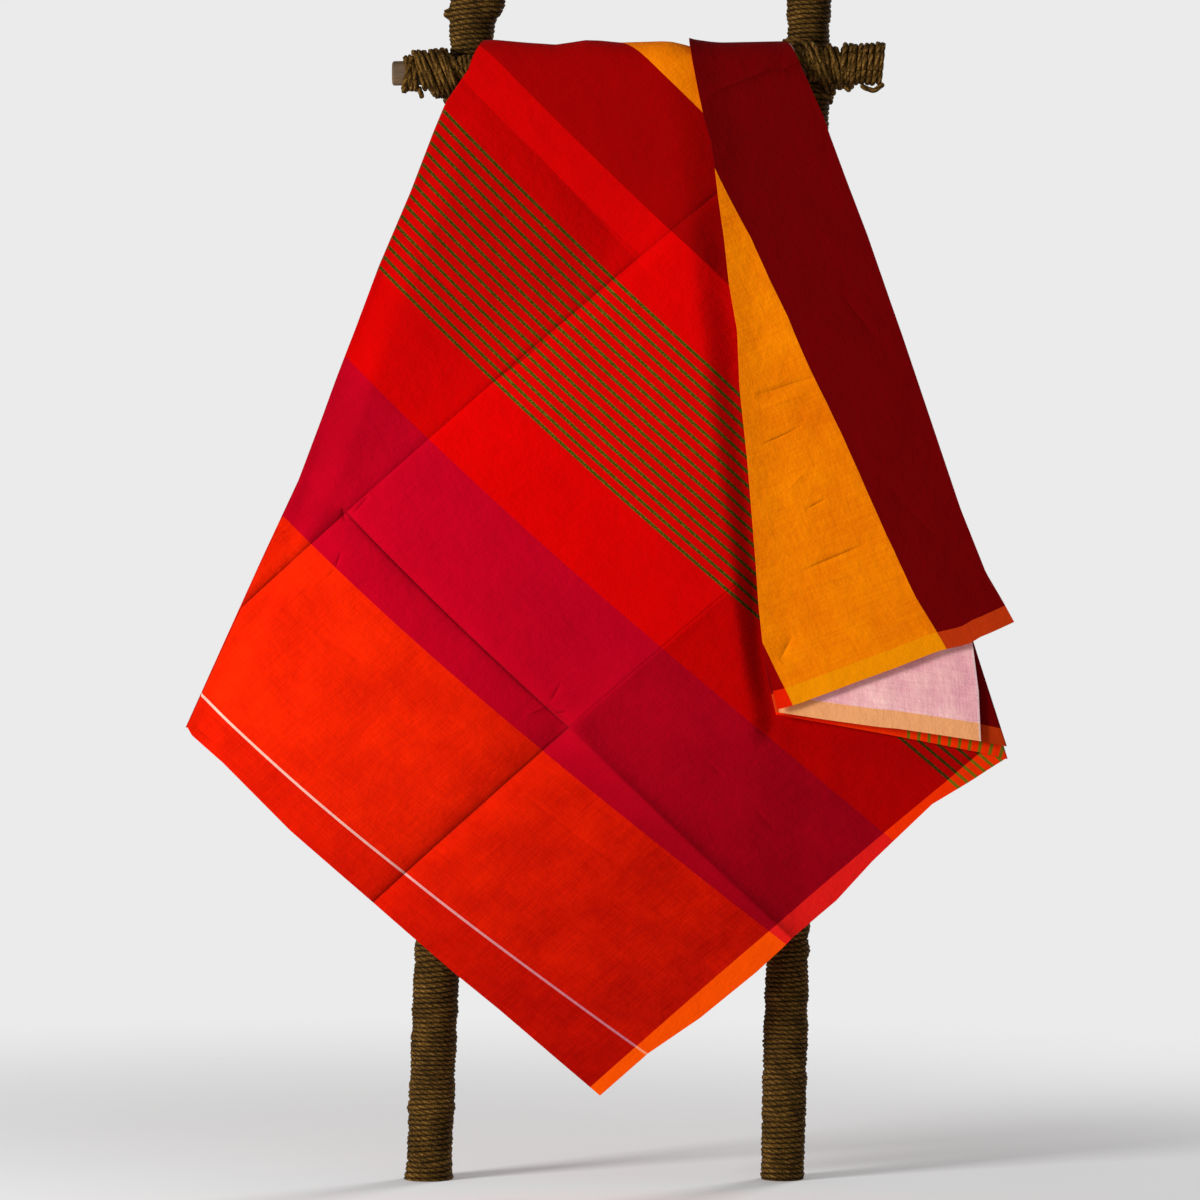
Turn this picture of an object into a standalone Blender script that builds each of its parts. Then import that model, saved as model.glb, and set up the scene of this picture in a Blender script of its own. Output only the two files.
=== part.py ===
"""A sarong hung over the rung of a rope-wound ladder rack.

Metres, Z up, the front of the cloth faces -Y. The cloth is one sheet: a chain of upright layers
joined by folds, which goes over the rung and down the back; its last layer turns up again at the
back and comes over the rung a second time as the front flap.
"""
import math

import bpy
import numpy as np

MM = 0.001

# Rack sizes
RACK_TOP = 1.040
LEAN = 0.0190
FOOT_Y = 0.0077
POLE_SIDES = 24
RUNG_BACK_FROM_POLE = 0.0291
RUNG_LEFT_X, RUNG_LEFT_Z = -0.1735, 0.9246
RUNG_RIGHT_X, RUNG_RIGHT_Z = 0.2357, 0.9330
RUNG_RADIUS = 0.0102
PIECE_GAP = 0.0004
WRAP_RADIUS = 0.0163
WRAP_LEFT_X, WRAP_RIGHT_X = -0.0790, 0.0440

# Poles: name, foot x, top x, radius rows of (height, radius), all mm
POLES = (
    ("upright_left", -143.6, -105.0, ((0, 20.9), (14, 18.9), (500, 18.6), (952, 18.5), (968, 21.5), (982, 21.5),
                                      (996, 18.4), (1040, 18.2))),
    ("upright_right", 152.7, 177.2, ((0, 19.0), (14, 18.3), (500, 17.6), (890, 18.4), (970, 18.3), (1040, 17.9))),
)

# Lashings: name, pole, band foot and top heights, then sleeve rows of (x from, x to, radius), all mm
LASHINGS = (
    ("lashing_left", 0, 904.0, 939.5, ((-163.5, -120.5, 18.6), (-121.5, -84.5, 14.2))),
    ("lashing_right", 1, 905.0, 954.0, ((170.5, 198.5, 14.2), (197.5, 237.6, 17.5))),
)
BAND_RADIUS = 0.0228
POLE_RADIUS_AT_BAND = 0.0185

# Cloth sizes
CLOTH_THICKNESS = 0.0010
LAYER_PITCH = 0.00138
FIRST_LAYER = 0.0009
HIGH_SEAT, LOW_SEAT = 0.0176, 0.0106
SEAT_STEP_LEFT, SEAT_STEP_RIGHT = 0.030, 0.026
HEM_FORWARD = 0.011
FRONT_ROWS, ARC_ROWS, BACK_ROWS = 18, 8, 6
FOLD_COLUMNS = 3
HEM_END_Z = 0.0747

# Left fold of the front panel, from the hem up to the rung: height and x, mm
LEFT_FOLD = ((378.9, -342.4), (444.9, -312.9), (518.8, -279.7), (585.2, -249.0), (689.7, -210.0), (763.6, -182.6),
             (824.2, -156.9), (876.5, -137.0), (900.6, -127.0), (928.0, -108.3))
# Hem of the front panel, left to right: share of its width, x and height, mm
FRONT_HEM = ((0.0, -342.4, 378.9), (0.012, -338.6, 372.3), (0.05, -312.9, 350.3), (0.14, -256.5, 293.8),
             (0.25, -182.6, 229.1), (0.34, -119.1, 174.7), (0.39, -83.0, 145.3), (0.51, 0.0, 74.7),
             (0.57, 39.8, 109.6), (0.63, 83.0, 139.0), (0.70, 129.5, 176.8), (0.74, 154.4, 200.0),
             (0.748, 158.5, 204.5), (0.80, 195.9, 235.7), (0.84, 225.8, 268.1), (0.91, 275.6, 315.4),
             (0.94, 300.0, 330.0), (1.0, 337.0, 352.8))
# Left fold of the stack of narrow layers, from low to high: height and x, mm
STACK_LEFT = ((389.3, 147.7), (420.0, 140.3), (449.0, 136.1), (480.6, 132.8), (517.9, 130.3), (599.3, 123.7),
              (659.0, 117.4), (707.2, 115.4), (745.3, 108.7), (783.5, 104.6), (815.9, 100.0), (840.8, 97.1),
              (863.2, 93.8), (883.9, 88.0), (903.0, 83.8), (928.0, 78.9))
# Right fold of the flap, from low to high: height and x, mm
FLAP_RIGHT = ((466.5, 342.8), (484.7, 332.8), (507.1, 319.6), (559.4, 298.8), (700.5, 251.5), (733.7, 239.9),
              (784.4, 222.4), (830.0, 205.0), (868.2, 190.9), (883.1, 185.9), (922.1, 168.5), (928.0, 166.0))
FLAP_HEM = ((0.0, 152.7, 394.2), (0.07, 166.0, 397.6), (0.19, 188.4, 405.9), (0.34, 215.8, 416.7),
            (0.51, 249.0, 429.1), (0.65, 279.7, 441.6), (0.70, 286.4, 443.7), (0.81, 306.3, 448.2),
            (0.86, 315.4, 454.0), (0.92, 325.4, 458.2), (1.0, 342.8, 466.5))
SECOND_HEM = ((0.0, 147.7, 389.3), (0.45, 232.4, 374.3), (0.65, 270.6, 366.9), (0.9, 317.1, 357.7),
              (1.0, 337.0, 352.8))
THIRD_HEM = ((0.0, 147.7, 389.3), (1.0, 335.8, 363.5))
FOURTH_HEM = ((0.0, 152.7, 393.0), (1.0, 335.8, 363.5))
PINK_HEM = ((0.0, 152.7, 391.8), (0.22, 188.4, 386.0), (0.49, 232.4, 379.7), (0.60, 250.0, 378.0),
            (1.0, 315.4, 367.7))
BACK_PANEL_HEM = ((0.0, -342.4, 378.9), (1.0, 145.0, 329.5))
RIGHT_FOLD = ((352.8, 337.0), (928.0, 162.0))
INNER_RIGHT_FOLD = ((363.5, 335.8), (377.7, 331.2), (434.9, 312.9), (928.0, 162.0))
PINK_RIGHT = ((367.7, 315.4), (408.4, 313.7), (448.2, 308.8), (500.0, 296.0), (928.0, 164.5))
BACK_PANEL_RIGHT = ((329.5, 145.0), (928.0, 150.0))

# Layers in chain order: name, columns, side where it starts, hem, left edge, right edge,
# depth added at the hem on the left and the right (mm), and the x where its left and right edges
# cross the top of the rung, the back of the rung and the back hem (mm)
LAYERS = (
    ("hidden_panel", 6, "right", BACK_PANEL_HEM, LEFT_FOLD, BACK_PANEL_RIGHT, (0.0, 0.0),
     (-93.8, -75.0, -106.0), (149.0, 143.0, 133.0)),
    ("front_panel", 24, "left", FRONT_HEM, LEFT_FOLD, RIGHT_FOLD, (1.0, 1.0),
     (-93.8, -75.0, -106.0), (152.0, 144.5, 134.0)),
    ("second", 4, "right", SECOND_HEM, STACK_LEFT, RIGHT_FOLD, (6.5, 2.0),
     (76.0, 80.0, 8.0), (152.0, 144.5, 134.0)),
    ("third", 4, "left", THIRD_HEM, STACK_LEFT, INNER_RIGHT_FOLD, (7.5, 5.0),
     (76.0, 80.0, 8.0), (152.0, 144.5, 134.0)),
    ("fourth", 4, "right", FOURTH_HEM, STACK_LEFT, INNER_RIGHT_FOLD, (10.0, 6.0),
     (76.0, 80.0, 8.0), (152.0, 144.5, 134.0)),
    ("pink", 5, "left", PINK_HEM, STACK_LEFT, PINK_RIGHT, (11.0, 10.0),
     (76.0, 80.0, 20.0), (156.0, 144.0, 133.0)),
)
FLAP_TOP_LEFT, FLAP_TOP_RIGHT = (74.5, 79.0, 20.0), (153.5, 144.0, 133.0)
FLAP_DEPTH_AT_HEM = (15.0, 13.5)
BACK_HEM_Z = (0.212, 0.216, 0.222, 0.226, 0.230, 0.236)
BACK_TURN_ROWS = 3
FRONT_HANG_EASE = 1.6


def rung_height(x):
    share = (x - RUNG_LEFT_X) / (RUNG_RIGHT_X - RUNG_LEFT_X)
    return RUNG_LEFT_Z + share * (RUNG_RIGHT_Z - RUNG_LEFT_Z)


def pole_y(z):
    return FOOT_Y + LEAN * z


RUNG_Y = pole_y(0.928) - RUNG_BACK_FROM_POLE


def smooth(share):
    share = np.clip(share, 0.0, 1.0)
    return share * share * (3.0 - 2.0 * share)


def along(rows, key, column=1):
    """The value of a table's column at key, from its first column, in metres."""
    table = np.array(rows)
    return np.interp(key, table[:, 0], table[:, column]) * MM


def edge_x(rows, z):
    return along(rows, np.asarray(z) / MM)


def seat(x, z):
    """Distance of the innermost cloth from the rung's axis: high on the left, low under the stack."""
    middle = edge_x(STACK_LEFT, z)
    left, right = middle - SEAT_STEP_LEFT, middle + SEAT_STEP_RIGHT
    lower = smooth((x - left) / (right - left))
    fade = 0.35 + 0.65 * smooth((z - HEM_END_Z) / 0.5)
    return HIGH_SEAT - (HIGH_SEAT - LOW_SEAT) * lower * fade


def three_way(values, angle):
    """Smooth value over the rung from its three table values: front of the rung is the first."""
    front, top, back = values
    share = angle / math.pi
    return (front * (1 - share) * (1 - 2 * share) + 4 * top * share * (1 - share) + back * share * (2 * share - 1))


def front_point(layer, share, rise):
    """x and z of a layer's front between its hem (rise 0) and the rung (rise 1)."""
    _, _, _, hem, left, right, _, _, _ = layer
    hem_x, hem_z = along(hem, share), along(hem, share, 2)
    end_z = 0.928
    left_hem_z, right_hem_z = hem[0][2] * MM, hem[-1][2] * MM
    left_z = left_hem_z + rise * (end_z - left_hem_z)
    right_z = right_hem_z + rise * (end_z - right_hem_z)
    left_x, right_x = edge_x(left, left_z), edge_x(right, right_z)
    top_x = edge_x(left, end_z) * (1 - share) + edge_x(right, end_z) * share
    top_z = rung_height(top_x)
    straight = (1 - share) * ((1 - rise) * hem[0][1] * MM + rise * edge_x(left, end_z)) + share * (
        (1 - rise) * hem[-1][1] * MM + rise * edge_x(right, end_z))
    x = (1 - rise) * hem_x + rise * top_x + (1 - share) * left_x + share * right_x - straight
    z = (1 - rise) * hem_z + rise * top_z
    return x, z


def front_depth(x, z, added, rise):
    """y of a layer's front: it hangs from the rung and leans a little forward down to the hem."""
    drop = (0.928 - z) / (0.928 - HEM_END_Z)
    forward = HEM_FORWARD * np.clip(drop, 0, 1) ** FRONT_HANG_EASE
    return RUNG_Y - seat(x, z) - forward - added


def layer_rows(layer, order, share, inset, along_fold=0.0):
    """One column of the cloth from hem to back hem; inset and along_fold place fold columns."""
    _, _, _, hem, left, right, depths, left_over, right_over = layer
    points = []
    base = FIRST_LAYER + order * LAYER_PITCH
    extra = (depths[0] * (1 - share) + depths[1] * share) * MM
    for row in range(FRONT_ROWS + 1):
        rise = (row / FRONT_ROWS) ** 0.9
        x, z = front_point(layer, share, rise)
        y = front_depth(x, z, base + extra * (1 - rise), rise)
        points.append((x + inset, y, z))
    front_x = points[-1][0] / MM
    left_end, right_end = edge_x(left, 0.928) / MM, edge_x(right, 0.928) / MM
    reach = HIGH_SEAT
    for row in range(1, ARC_ROWS + 1):
        angle = math.pi * row / ARC_ROWS
        low = three_way((left_end, left_over[0], left_over[1]), angle) * MM
        high = three_way((right_end, right_over[0], right_over[1]), angle) * MM
        x = low + (high - low) * share + inset
        radius = float(seat(x, 0.928)) + base
        points.append((x, RUNG_Y - radius * math.cos(angle), rung_height(x) + radius * math.sin(angle)))
    for row in range(1, BACK_ROWS + 1):
        fall = row / BACK_ROWS
        low = (left_over[1] * (1 - fall) + left_over[2] * fall) * MM
        high = (right_over[1] * (1 - fall) + right_over[2] * fall) * MM
        x = low + (high - low) * share + inset
        z = rung_height(x) * (1 - fall) + BACK_HEM_Z[order] * fall
        radius = float(seat(x, 0.928)) + base + fall * order * 0.6 * MM
        points.append((x, RUNG_Y + radius, z))
    return points


def chain_columns():
    """All columns of the chain, left to right of the unfolded cloth, and the pink layer's first column."""
    columns = []
    starts = []
    for order, layer in enumerate(LAYERS):
        count, side = layer[1], layer[2]
        starts.append(len(columns))
        shares = np.linspace(0, 1, count + 1)
        if layer[0] == "front_panel":
            shares = hem_shares(count)
        if side == "right":
            shares = 1 - shares
        for share in shares:
            columns.append(layer_rows(layer, order, float(share), 0.0))
        if order + 1 < len(LAYERS):
            columns.extend(fold_columns(order, float(shares[-1])))
    return columns, starts[-1]


def hem_shares(count):
    """Column shares of the front panel, moved so that columns meet its corners."""
    shares = np.linspace(0, 1, count + 1)
    for corner in (0.012, 0.51, 0.74, 0.748):
        shares[1 + np.argmin(np.abs(shares[1:-1] - corner))] = corner
    return np.sort(shares)


def fold_columns(order, share):
    """The round turn between two layers at their shared edge."""
    first = np.array(layer_rows(LAYERS[order], order, share, 0.0))
    second = np.array(layer_rows(LAYERS[order + 1], order + 1, share, 0.0))
    side = 1.0 if share > 0.5 else -1.0
    middle, half = (first + second) / 2, (second - first) / 2
    reach = np.linalg.norm(half[:, :2], axis=1)
    out = []
    for step in range(1, FOLD_COLUMNS + 1):
        angle = math.pi * step / (FOLD_COLUMNS + 1)
        ring = middle - half * math.cos(angle)
        ring[:, 0] += side * reach * math.sin(angle)
        out.append([tuple(point) for point in ring])
    return out


def flap_columns(pink_columns):
    """The flap: it leaves the pink layer's back hem, turns up and goes over all to the front hem."""
    layer = ("flap", 0, "left", FLAP_HEM, STACK_LEFT, FLAP_RIGHT, FLAP_DEPTH_AT_HEM, FLAP_TOP_LEFT, FLAP_TOP_RIGHT)
    order = len(LAYERS)
    count = len(pink_columns) - 1
    out = []
    for index, column in enumerate(pink_columns):
        share = index / count
        end = np.array(column[-1])
        front = flap_rows(layer, order, share)
        start = np.array(front[0])
        turn = []
        middle, half = (end + start) / 2, (start - end) / 2
        reach = float(np.linalg.norm(half))
        for step in range(1, BACK_TURN_ROWS + 1):
            angle = math.pi * step / (BACK_TURN_ROWS + 1)
            point = middle - half * math.cos(angle)
            point[2] -= reach * math.sin(angle)
            turn.append(tuple(point))
        out.append(turn + front)
    return out


def flap_rows(layer, order, share):
    """The flap from the back hem's turn up, over the rung and down the front."""
    _, _, _, hem, left, right, depths, left_over, right_over = layer
    base = FIRST_LAYER + order * LAYER_PITCH
    extra = (depths[0] * (1 - share) + depths[1] * share) * MM
    low_end, high_end = edge_x(left, 0.928) / MM, edge_x(right, 0.928) / MM
    points = []
    for row in range(BACK_ROWS):
        fall = 1 - row / BACK_ROWS
        low = (left_over[1] * (1 - fall) + left_over[2] * fall) * MM
        high = (right_over[1] * (1 - fall) + right_over[2] * fall) * MM
        x = low + (high - low) * share
        z = rung_height(x) * (1 - fall) + BACK_HEM_Z[-1] * fall
        radius = float(seat(x, 0.928)) + base + fall * (order + 1) * 0.6 * MM
        points.append((x, RUNG_Y + radius, z))
    for row in range(ARC_ROWS):
        angle = math.pi * (1 - row / ARC_ROWS)
        low = three_way((low_end, left_over[0], left_over[1]), angle) * MM
        high = three_way((high_end, right_over[0], right_over[1]), angle) * MM
        x = low + (high - low) * share
        radius = float(seat(x, 0.928)) + base
        points.append((x, RUNG_Y - radius * math.cos(angle), rung_height(x) + radius * math.sin(angle)))
    for row in range(FRONT_ROWS + 1):
        rise = 1 - row / FRONT_ROWS
        x, z = front_point(layer, share, rise)
        y = front_depth(x, z, base + extra * (1 - rise), rise)
        points.append((x, y, z))
    return points


def grid_quads(first, rows, columns, column_step, row_step):
    """Quads of a regular block of vertex numbers, as one array of four columns."""
    r, c = np.meshgrid(np.arange(rows - 1), np.arange(columns - 1), indexing="ij")
    corner = (first + r * row_step + c * column_step).ravel()
    return np.stack([corner, corner + column_step, corner + column_step + row_step, corner + row_step], axis=1)


def shell(points, quads, thickness):
    """A closed solid from a sheet: two faces half a thickness off it, joined round its free edges."""
    a, b, c, d = (points[quads[:, i]] for i in range(4))
    face = np.cross(c - a, d - b)
    normal = np.zeros_like(points)
    for i in range(4):
        np.add.at(normal, quads[:, i], face)
    normal /= np.linalg.norm(normal, axis=1, keepdims=True)
    outer, inner = points + normal * thickness / 2, points - normal * thickness / 2
    count = len(points)
    edges = np.concatenate([quads[:, [i, (i + 1) % 4]] for i in range(4)])
    key = np.sort(edges, axis=1)
    _, where, uses = np.unique(key, axis=0, return_index=True, return_counts=True)
    rim = edges[where[uses == 1]]
    sides = np.stack([rim[:, 1], rim[:, 0], rim[:, 0] + count, rim[:, 1] + count], axis=1)
    faces = np.concatenate([quads, quads[:, ::-1] + count, sides])
    return np.concatenate([outer, inner]), faces


def make_object(name, points, faces, colour, roughness):
    mesh = bpy.data.meshes.new(name)
    mesh.from_pydata([tuple(map(float, p)) for p in points], [], [tuple(map(int, f)) for f in faces])
    mesh.update()
    material = bpy.data.materials.new(name)
    material.use_nodes = True
    shader = material.node_tree.nodes["Principled BSDF"]
    shader.inputs["Base Color"].default_value = (*colour, 1.0)
    shader.inputs["Roughness"].default_value = roughness
    mesh.materials.append(material)
    mesh.shade_smooth()
    made = bpy.data.objects.new(name, mesh)
    bpy.context.scene.collection.objects.link(made)
    return made


def build_cloth():
    columns, pink_start = chain_columns()
    rows = len(columns[0])
    flap = flap_columns(columns[pink_start:])
    flap_rows_count = len(flap[0])
    points = np.concatenate([np.array(columns).reshape(-1, 3), np.array(flap).reshape(-1, 3)])
    main = grid_quads(0, rows, len(columns), rows, 1)
    first_flap = len(columns) * rows
    upper = grid_quads(first_flap, flap_rows_count, len(flap), flap_rows_count, 1)
    seam_main = (np.arange(pink_start, len(columns)) * rows) + rows - 1
    seam_flap = first_flap + np.arange(len(flap)) * flap_rows_count
    seam = np.stack([seam_main[:-1], seam_main[1:], seam_flap[1:], seam_flap[:-1]], axis=1)
    points, faces = shell(points, np.concatenate([main, seam, upper]), CLOTH_THICKNESS)
    return make_object("sarong", points, faces, (0.62, 0.03, 0.01), 0.85)


def tube(name, rings, colour, roughness, inner=None):
    """A solid lofted through rings of (centre, radius, across, up); inner rings leave a bore."""
    outside = ring_points(rings)
    count = len(rings)
    faces = []
    sides = POLE_SIDES
    for k in range(count - 1):
        for i in range(sides):
            j = (i + 1) % sides
            faces.append((k * sides + i, k * sides + j, (k + 1) * sides + j, (k + 1) * sides + i))
    points = outside
    if inner is None:
        faces.append(tuple(range(sides - 1, -1, -1)))
        faces.append(tuple((count - 1) * sides + i for i in range(sides)))
    else:
        bore = ring_points(inner)
        shift = len(outside)
        last, inner_last = (count - 1) * sides, shift + (len(inner) - 1) * sides
        points = np.concatenate([outside, bore])
        for i in range(sides):
            j = (i + 1) % sides
            for k in range(len(inner) - 1):
                low, high = shift + k * sides, shift + (k + 1) * sides
                faces.append((low + j, low + i, high + i, high + j))
            faces.append((j, i, shift + i, shift + j))
            faces.append((last + i, last + j, inner_last + j, inner_last + i))
    return make_object(name, points, faces, colour, roughness)


def ring_points(rings):
    angle = 2 * math.pi * np.arange(POLE_SIDES) / POLE_SIDES
    out = []
    for centre, radius, across, up in rings:
        out.append(np.array(centre) + radius * (np.outer(np.cos(angle), across) + np.outer(np.sin(angle), up)))
    return np.concatenate(out)


def pole_ring(pole, z, radius):
    _, foot_x, top_x, _ = pole
    x = (foot_x + (top_x - foot_x) * z / RACK_TOP) * MM
    return ((x, pole_y(z), z), radius, np.array((1.0, 0.0, 0.0)), np.array((0.0, 1.0, 0.0)))


def rung_ring(x, radius):
    return ((x, RUNG_Y, rung_height(x)), radius, np.array((0.0, 1.0, 0.0)), np.array((0.0, 0.0, 1.0)))


def cut(target, tool, operation):
    """Joins or cuts one solid with another and removes the tool."""
    modifier = target.modifiers.new("cut", "BOOLEAN")
    modifier.operation, modifier.solver, modifier.object = operation, "EXACT", tool
    bpy.context.view_layer.update()
    graph = bpy.context.evaluated_depsgraph_get()
    result = bpy.data.meshes.new_from_object(target.evaluated_get(graph))
    target.modifiers.clear()
    old = target.data
    target.data = result
    bpy.data.meshes.remove(old)
    bpy.data.objects.remove(tool)


ROPE = (0.10, 0.045, 0.012)
WOOD = (0.42, 0.22, 0.09)


def build_rack():
    for pole in POLES:
        rings = [pole_ring(pole, z * MM, radius * MM) for z, radius in pole[3]]
        tube(pole[0], rings, ROPE, 0.95)
    rung_rings = [rung_ring(RUNG_LEFT_X, RUNG_RADIUS - 0.001), rung_ring(RUNG_LEFT_X + 0.0015, RUNG_RADIUS),
                  rung_ring(RUNG_RIGHT_X, RUNG_RADIUS)]
    tube("rung", rung_rings, WOOD, 0.6)
    bore = RUNG_RADIUS + PIECE_GAP
    tube("rung_wrap", [rung_ring(WRAP_LEFT_X, WRAP_RADIUS), rung_ring(WRAP_RIGHT_X, WRAP_RADIUS)], ROPE, 0.95,
         [rung_ring(WRAP_LEFT_X, bore), rung_ring(WRAP_RIGHT_X, bore)])
    for name, pole, low, high, sleeves in LASHINGS:
        band = tube(name, [pole_ring(POLES[pole], low * MM, BAND_RADIUS), pole_ring(POLES[pole], high * MM, BAND_RADIUS)],
                    ROPE, 0.95)
        for x_from, x_to, radius in sleeves:
            sleeve = tube("sleeve", [rung_ring(x_from * MM, radius * MM), rung_ring(x_to * MM, radius * MM)], ROPE, 0.95)
            cut(band, sleeve, "UNION")
        clear = POLE_RADIUS_AT_BAND + PIECE_GAP
        cut(band, tube("pole_space", [pole_ring(POLES[pole], 0.85, clear), pole_ring(POLES[pole], 1.0, clear)],
                       ROPE, 0.95), "DIFFERENCE")
        cut(band, tube("rung_space", [rung_ring(RUNG_LEFT_X - 0.02, bore), rung_ring(RUNG_RIGHT_X + 0.02, bore)],
                       ROPE, 0.95), "DIFFERENCE")


def main():
    for old in list(bpy.data.objects):
        bpy.data.objects.remove(old)
    build_rack()
    build_cloth()


main()
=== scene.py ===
"""A draped sarong on a rope-wound ladder rack, dressed with its woven bands, rope and bare wood."""
import math

import bpy
import numpy as np
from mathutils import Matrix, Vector


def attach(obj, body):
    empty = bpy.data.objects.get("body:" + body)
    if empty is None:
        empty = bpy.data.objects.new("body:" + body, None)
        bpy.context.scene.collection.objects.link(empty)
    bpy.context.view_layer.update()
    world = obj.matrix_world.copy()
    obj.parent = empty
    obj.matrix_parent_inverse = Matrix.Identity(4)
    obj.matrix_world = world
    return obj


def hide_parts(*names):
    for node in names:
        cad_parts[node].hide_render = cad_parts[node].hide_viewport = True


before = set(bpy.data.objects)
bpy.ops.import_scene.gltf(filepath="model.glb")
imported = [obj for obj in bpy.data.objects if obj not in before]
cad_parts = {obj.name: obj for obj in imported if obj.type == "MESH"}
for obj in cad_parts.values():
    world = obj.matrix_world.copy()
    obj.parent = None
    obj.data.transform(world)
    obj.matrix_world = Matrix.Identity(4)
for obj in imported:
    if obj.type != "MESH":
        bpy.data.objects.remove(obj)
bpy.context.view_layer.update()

bl_info = {
    "name": "Draped sarong on a rack",
    "version": (1, 0, 0),
    "blender": (4, 5, 0),
    "location": "3D View > Sidebar > Sarong",
    "description": "Makes a draped sarong over the rung of a rope-wound ladder rack",
    "category": "Object",
}

MM = 0.001

# Rack sizes, as in the part
RACK_TOP = 1.040
LEAN = 0.0190
FOOT_Y = 0.0077
RUNG_BACK_FROM_POLE = 0.0291
RUNG_LEFT_X, RUNG_LEFT_Z = -0.1735, 0.9246
RUNG_RIGHT_X, RUNG_RIGHT_Z = 0.2357, 0.9330
RUNG_RADIUS = 0.0102
RUNG_WRAP_X = (-0.0785, 0.0435)
POLE_LEFT_X, POLE_RIGHT_X = (-143.6, -105.0), (152.7, 177.2)
POLE_LEFT_RADII = ((0, 20.9), (14, 18.9), (500, 18.6), (952, 18.3), (962, 18.7), (1000, 19.0), (1040, 18.2))
# Swellings of the winding: height, direction round the pole, size, half height and spread
POLE_LEFT_KNOTS = ((0.9890, -0.35, 0.0088, 0.0150, 0.75), (0.9775, 3.3, 0.0060, 0.0045, 0.26))
POLE_RIGHT_RADII = ((0, 19.0), (14, 18.3), (500, 17.6), (890, 18.4), (970, 18.3), (1040, 17.9))

# Cloth sizes, as in the part
CLOTH_THICKNESS = 0.0010
LAYER_PITCH = 0.00138
FIRST_LAYER = 0.0009
HIGH_SEAT, LOW_SEAT = 0.0176, 0.0106
SEAT_STEP_LEFT, SEAT_STEP_RIGHT = 0.030, 0.026
HEM_FORWARD = 0.011
FRONT_HANG_EASE = 1.6
HEM_END_Z = 0.0747
RUNG_LINE = 0.928

# Left fold of the front panel, from the hem up to the rung: height and x, mm
LEFT_FOLD = ((378.9, -342.4), (444.9, -312.9), (518.8, -279.7), (585.2, -249.0), (689.7, -210.0),
             (763.6, -182.6), (824.2, -156.9), (876.5, -137.0), (900.6, -127.0), (928.0, -108.3))
# Hems, from left to right: share of the layer's width, x and height, mm
FRONT_HEM = ((0.0, -342.4, 378.9), (0.012, -338.6, 372.3), (0.05, -312.9, 350.3), (0.14, -256.5, 293.8),
             (0.25, -182.6, 229.1), (0.34, -119.1, 174.7), (0.39, -83.0, 145.3), (0.51, 0.0, 74.7),
             (0.57, 39.8, 109.6), (0.63, 83.0, 139.0), (0.70, 129.5, 176.8), (0.74, 154.4, 200.0),
             (0.748, 158.5, 204.5), (0.80, 195.9, 235.7), (0.84, 225.8, 268.1), (0.91, 275.6, 315.4),
             (0.94, 300.0, 330.0), (1.0, 337.0, 352.8))
# Left fold of the stack of narrow layers, from low to high: height and x, mm
STACK_LEFT = ((389.3, 147.7), (420.0, 140.3), (449.0, 136.1), (480.6, 132.8), (517.9, 130.3), (599.3, 123.7),
              (659.0, 117.4), (707.2, 115.4), (745.3, 108.7), (783.5, 104.6), (815.9, 100.0), (840.8, 97.1),
              (863.2, 93.8), (883.9, 88.0), (903.0, 83.8), (928.0, 78.9))
# Right fold of the flap, from low to high: height and x, mm
FLAP_RIGHT = ((466.5, 342.8), (484.7, 332.8), (507.1, 319.6), (559.4, 298.8), (700.5, 251.5), (733.7, 239.9),
              (784.4, 222.4), (830.0, 205.0), (868.2, 190.9), (883.1, 185.9), (922.1, 168.5), (928.0, 166.0))
FLAP_HEM = ((0.0, 152.7, 394.2), (0.07, 166.0, 397.6), (0.19, 188.4, 405.9), (0.34, 215.8, 416.7),
            (0.51, 249.0, 429.1), (0.65, 279.7, 441.6), (0.70, 286.4, 443.7), (0.81, 306.3, 448.2),
            (0.86, 315.4, 454.0), (0.92, 325.4, 458.2), (1.0, 342.8, 466.5))
SECOND_HEM = ((0.0, 147.7, 389.3), (0.45, 232.4, 374.3), (0.65, 270.6, 366.9), (0.9, 317.1, 357.7),
              (1.0, 337.0, 352.8))
THIRD_HEM = ((0.0, 147.7, 389.8), (0.5, 241.7, 381.5), (1.0, 335.8, 363.5))
FOURTH_HEM = ((0.0, 152.7, 393.5), (0.5, 244.2, 383.5), (1.0, 335.8, 363.5))
PINK_HEM = ((0.0, 152.7, 391.8), (0.22, 188.4, 386.0), (0.49, 232.4, 379.7), (0.60, 250.0, 378.0),
            (1.0, 315.4, 367.7))
BACK_PANEL_HEM = ((0.0, -342.4, 378.9), (1.0, 145.0, 329.5))
RIGHT_FOLD = ((352.8, 337.0), (928.0, 162.0))
INNER_RIGHT_FOLD = ((363.5, 335.8), (377.7, 331.2), (434.9, 312.9), (928.0, 162.0))
PINK_RIGHT = ((367.7, 315.4), (408.4, 313.7), (448.2, 308.8), (500.0, 296.0), (928.0, 164.5))
BACK_PANEL_RIGHT = ((329.5, 145.0), (928.0, 150.0))

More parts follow.
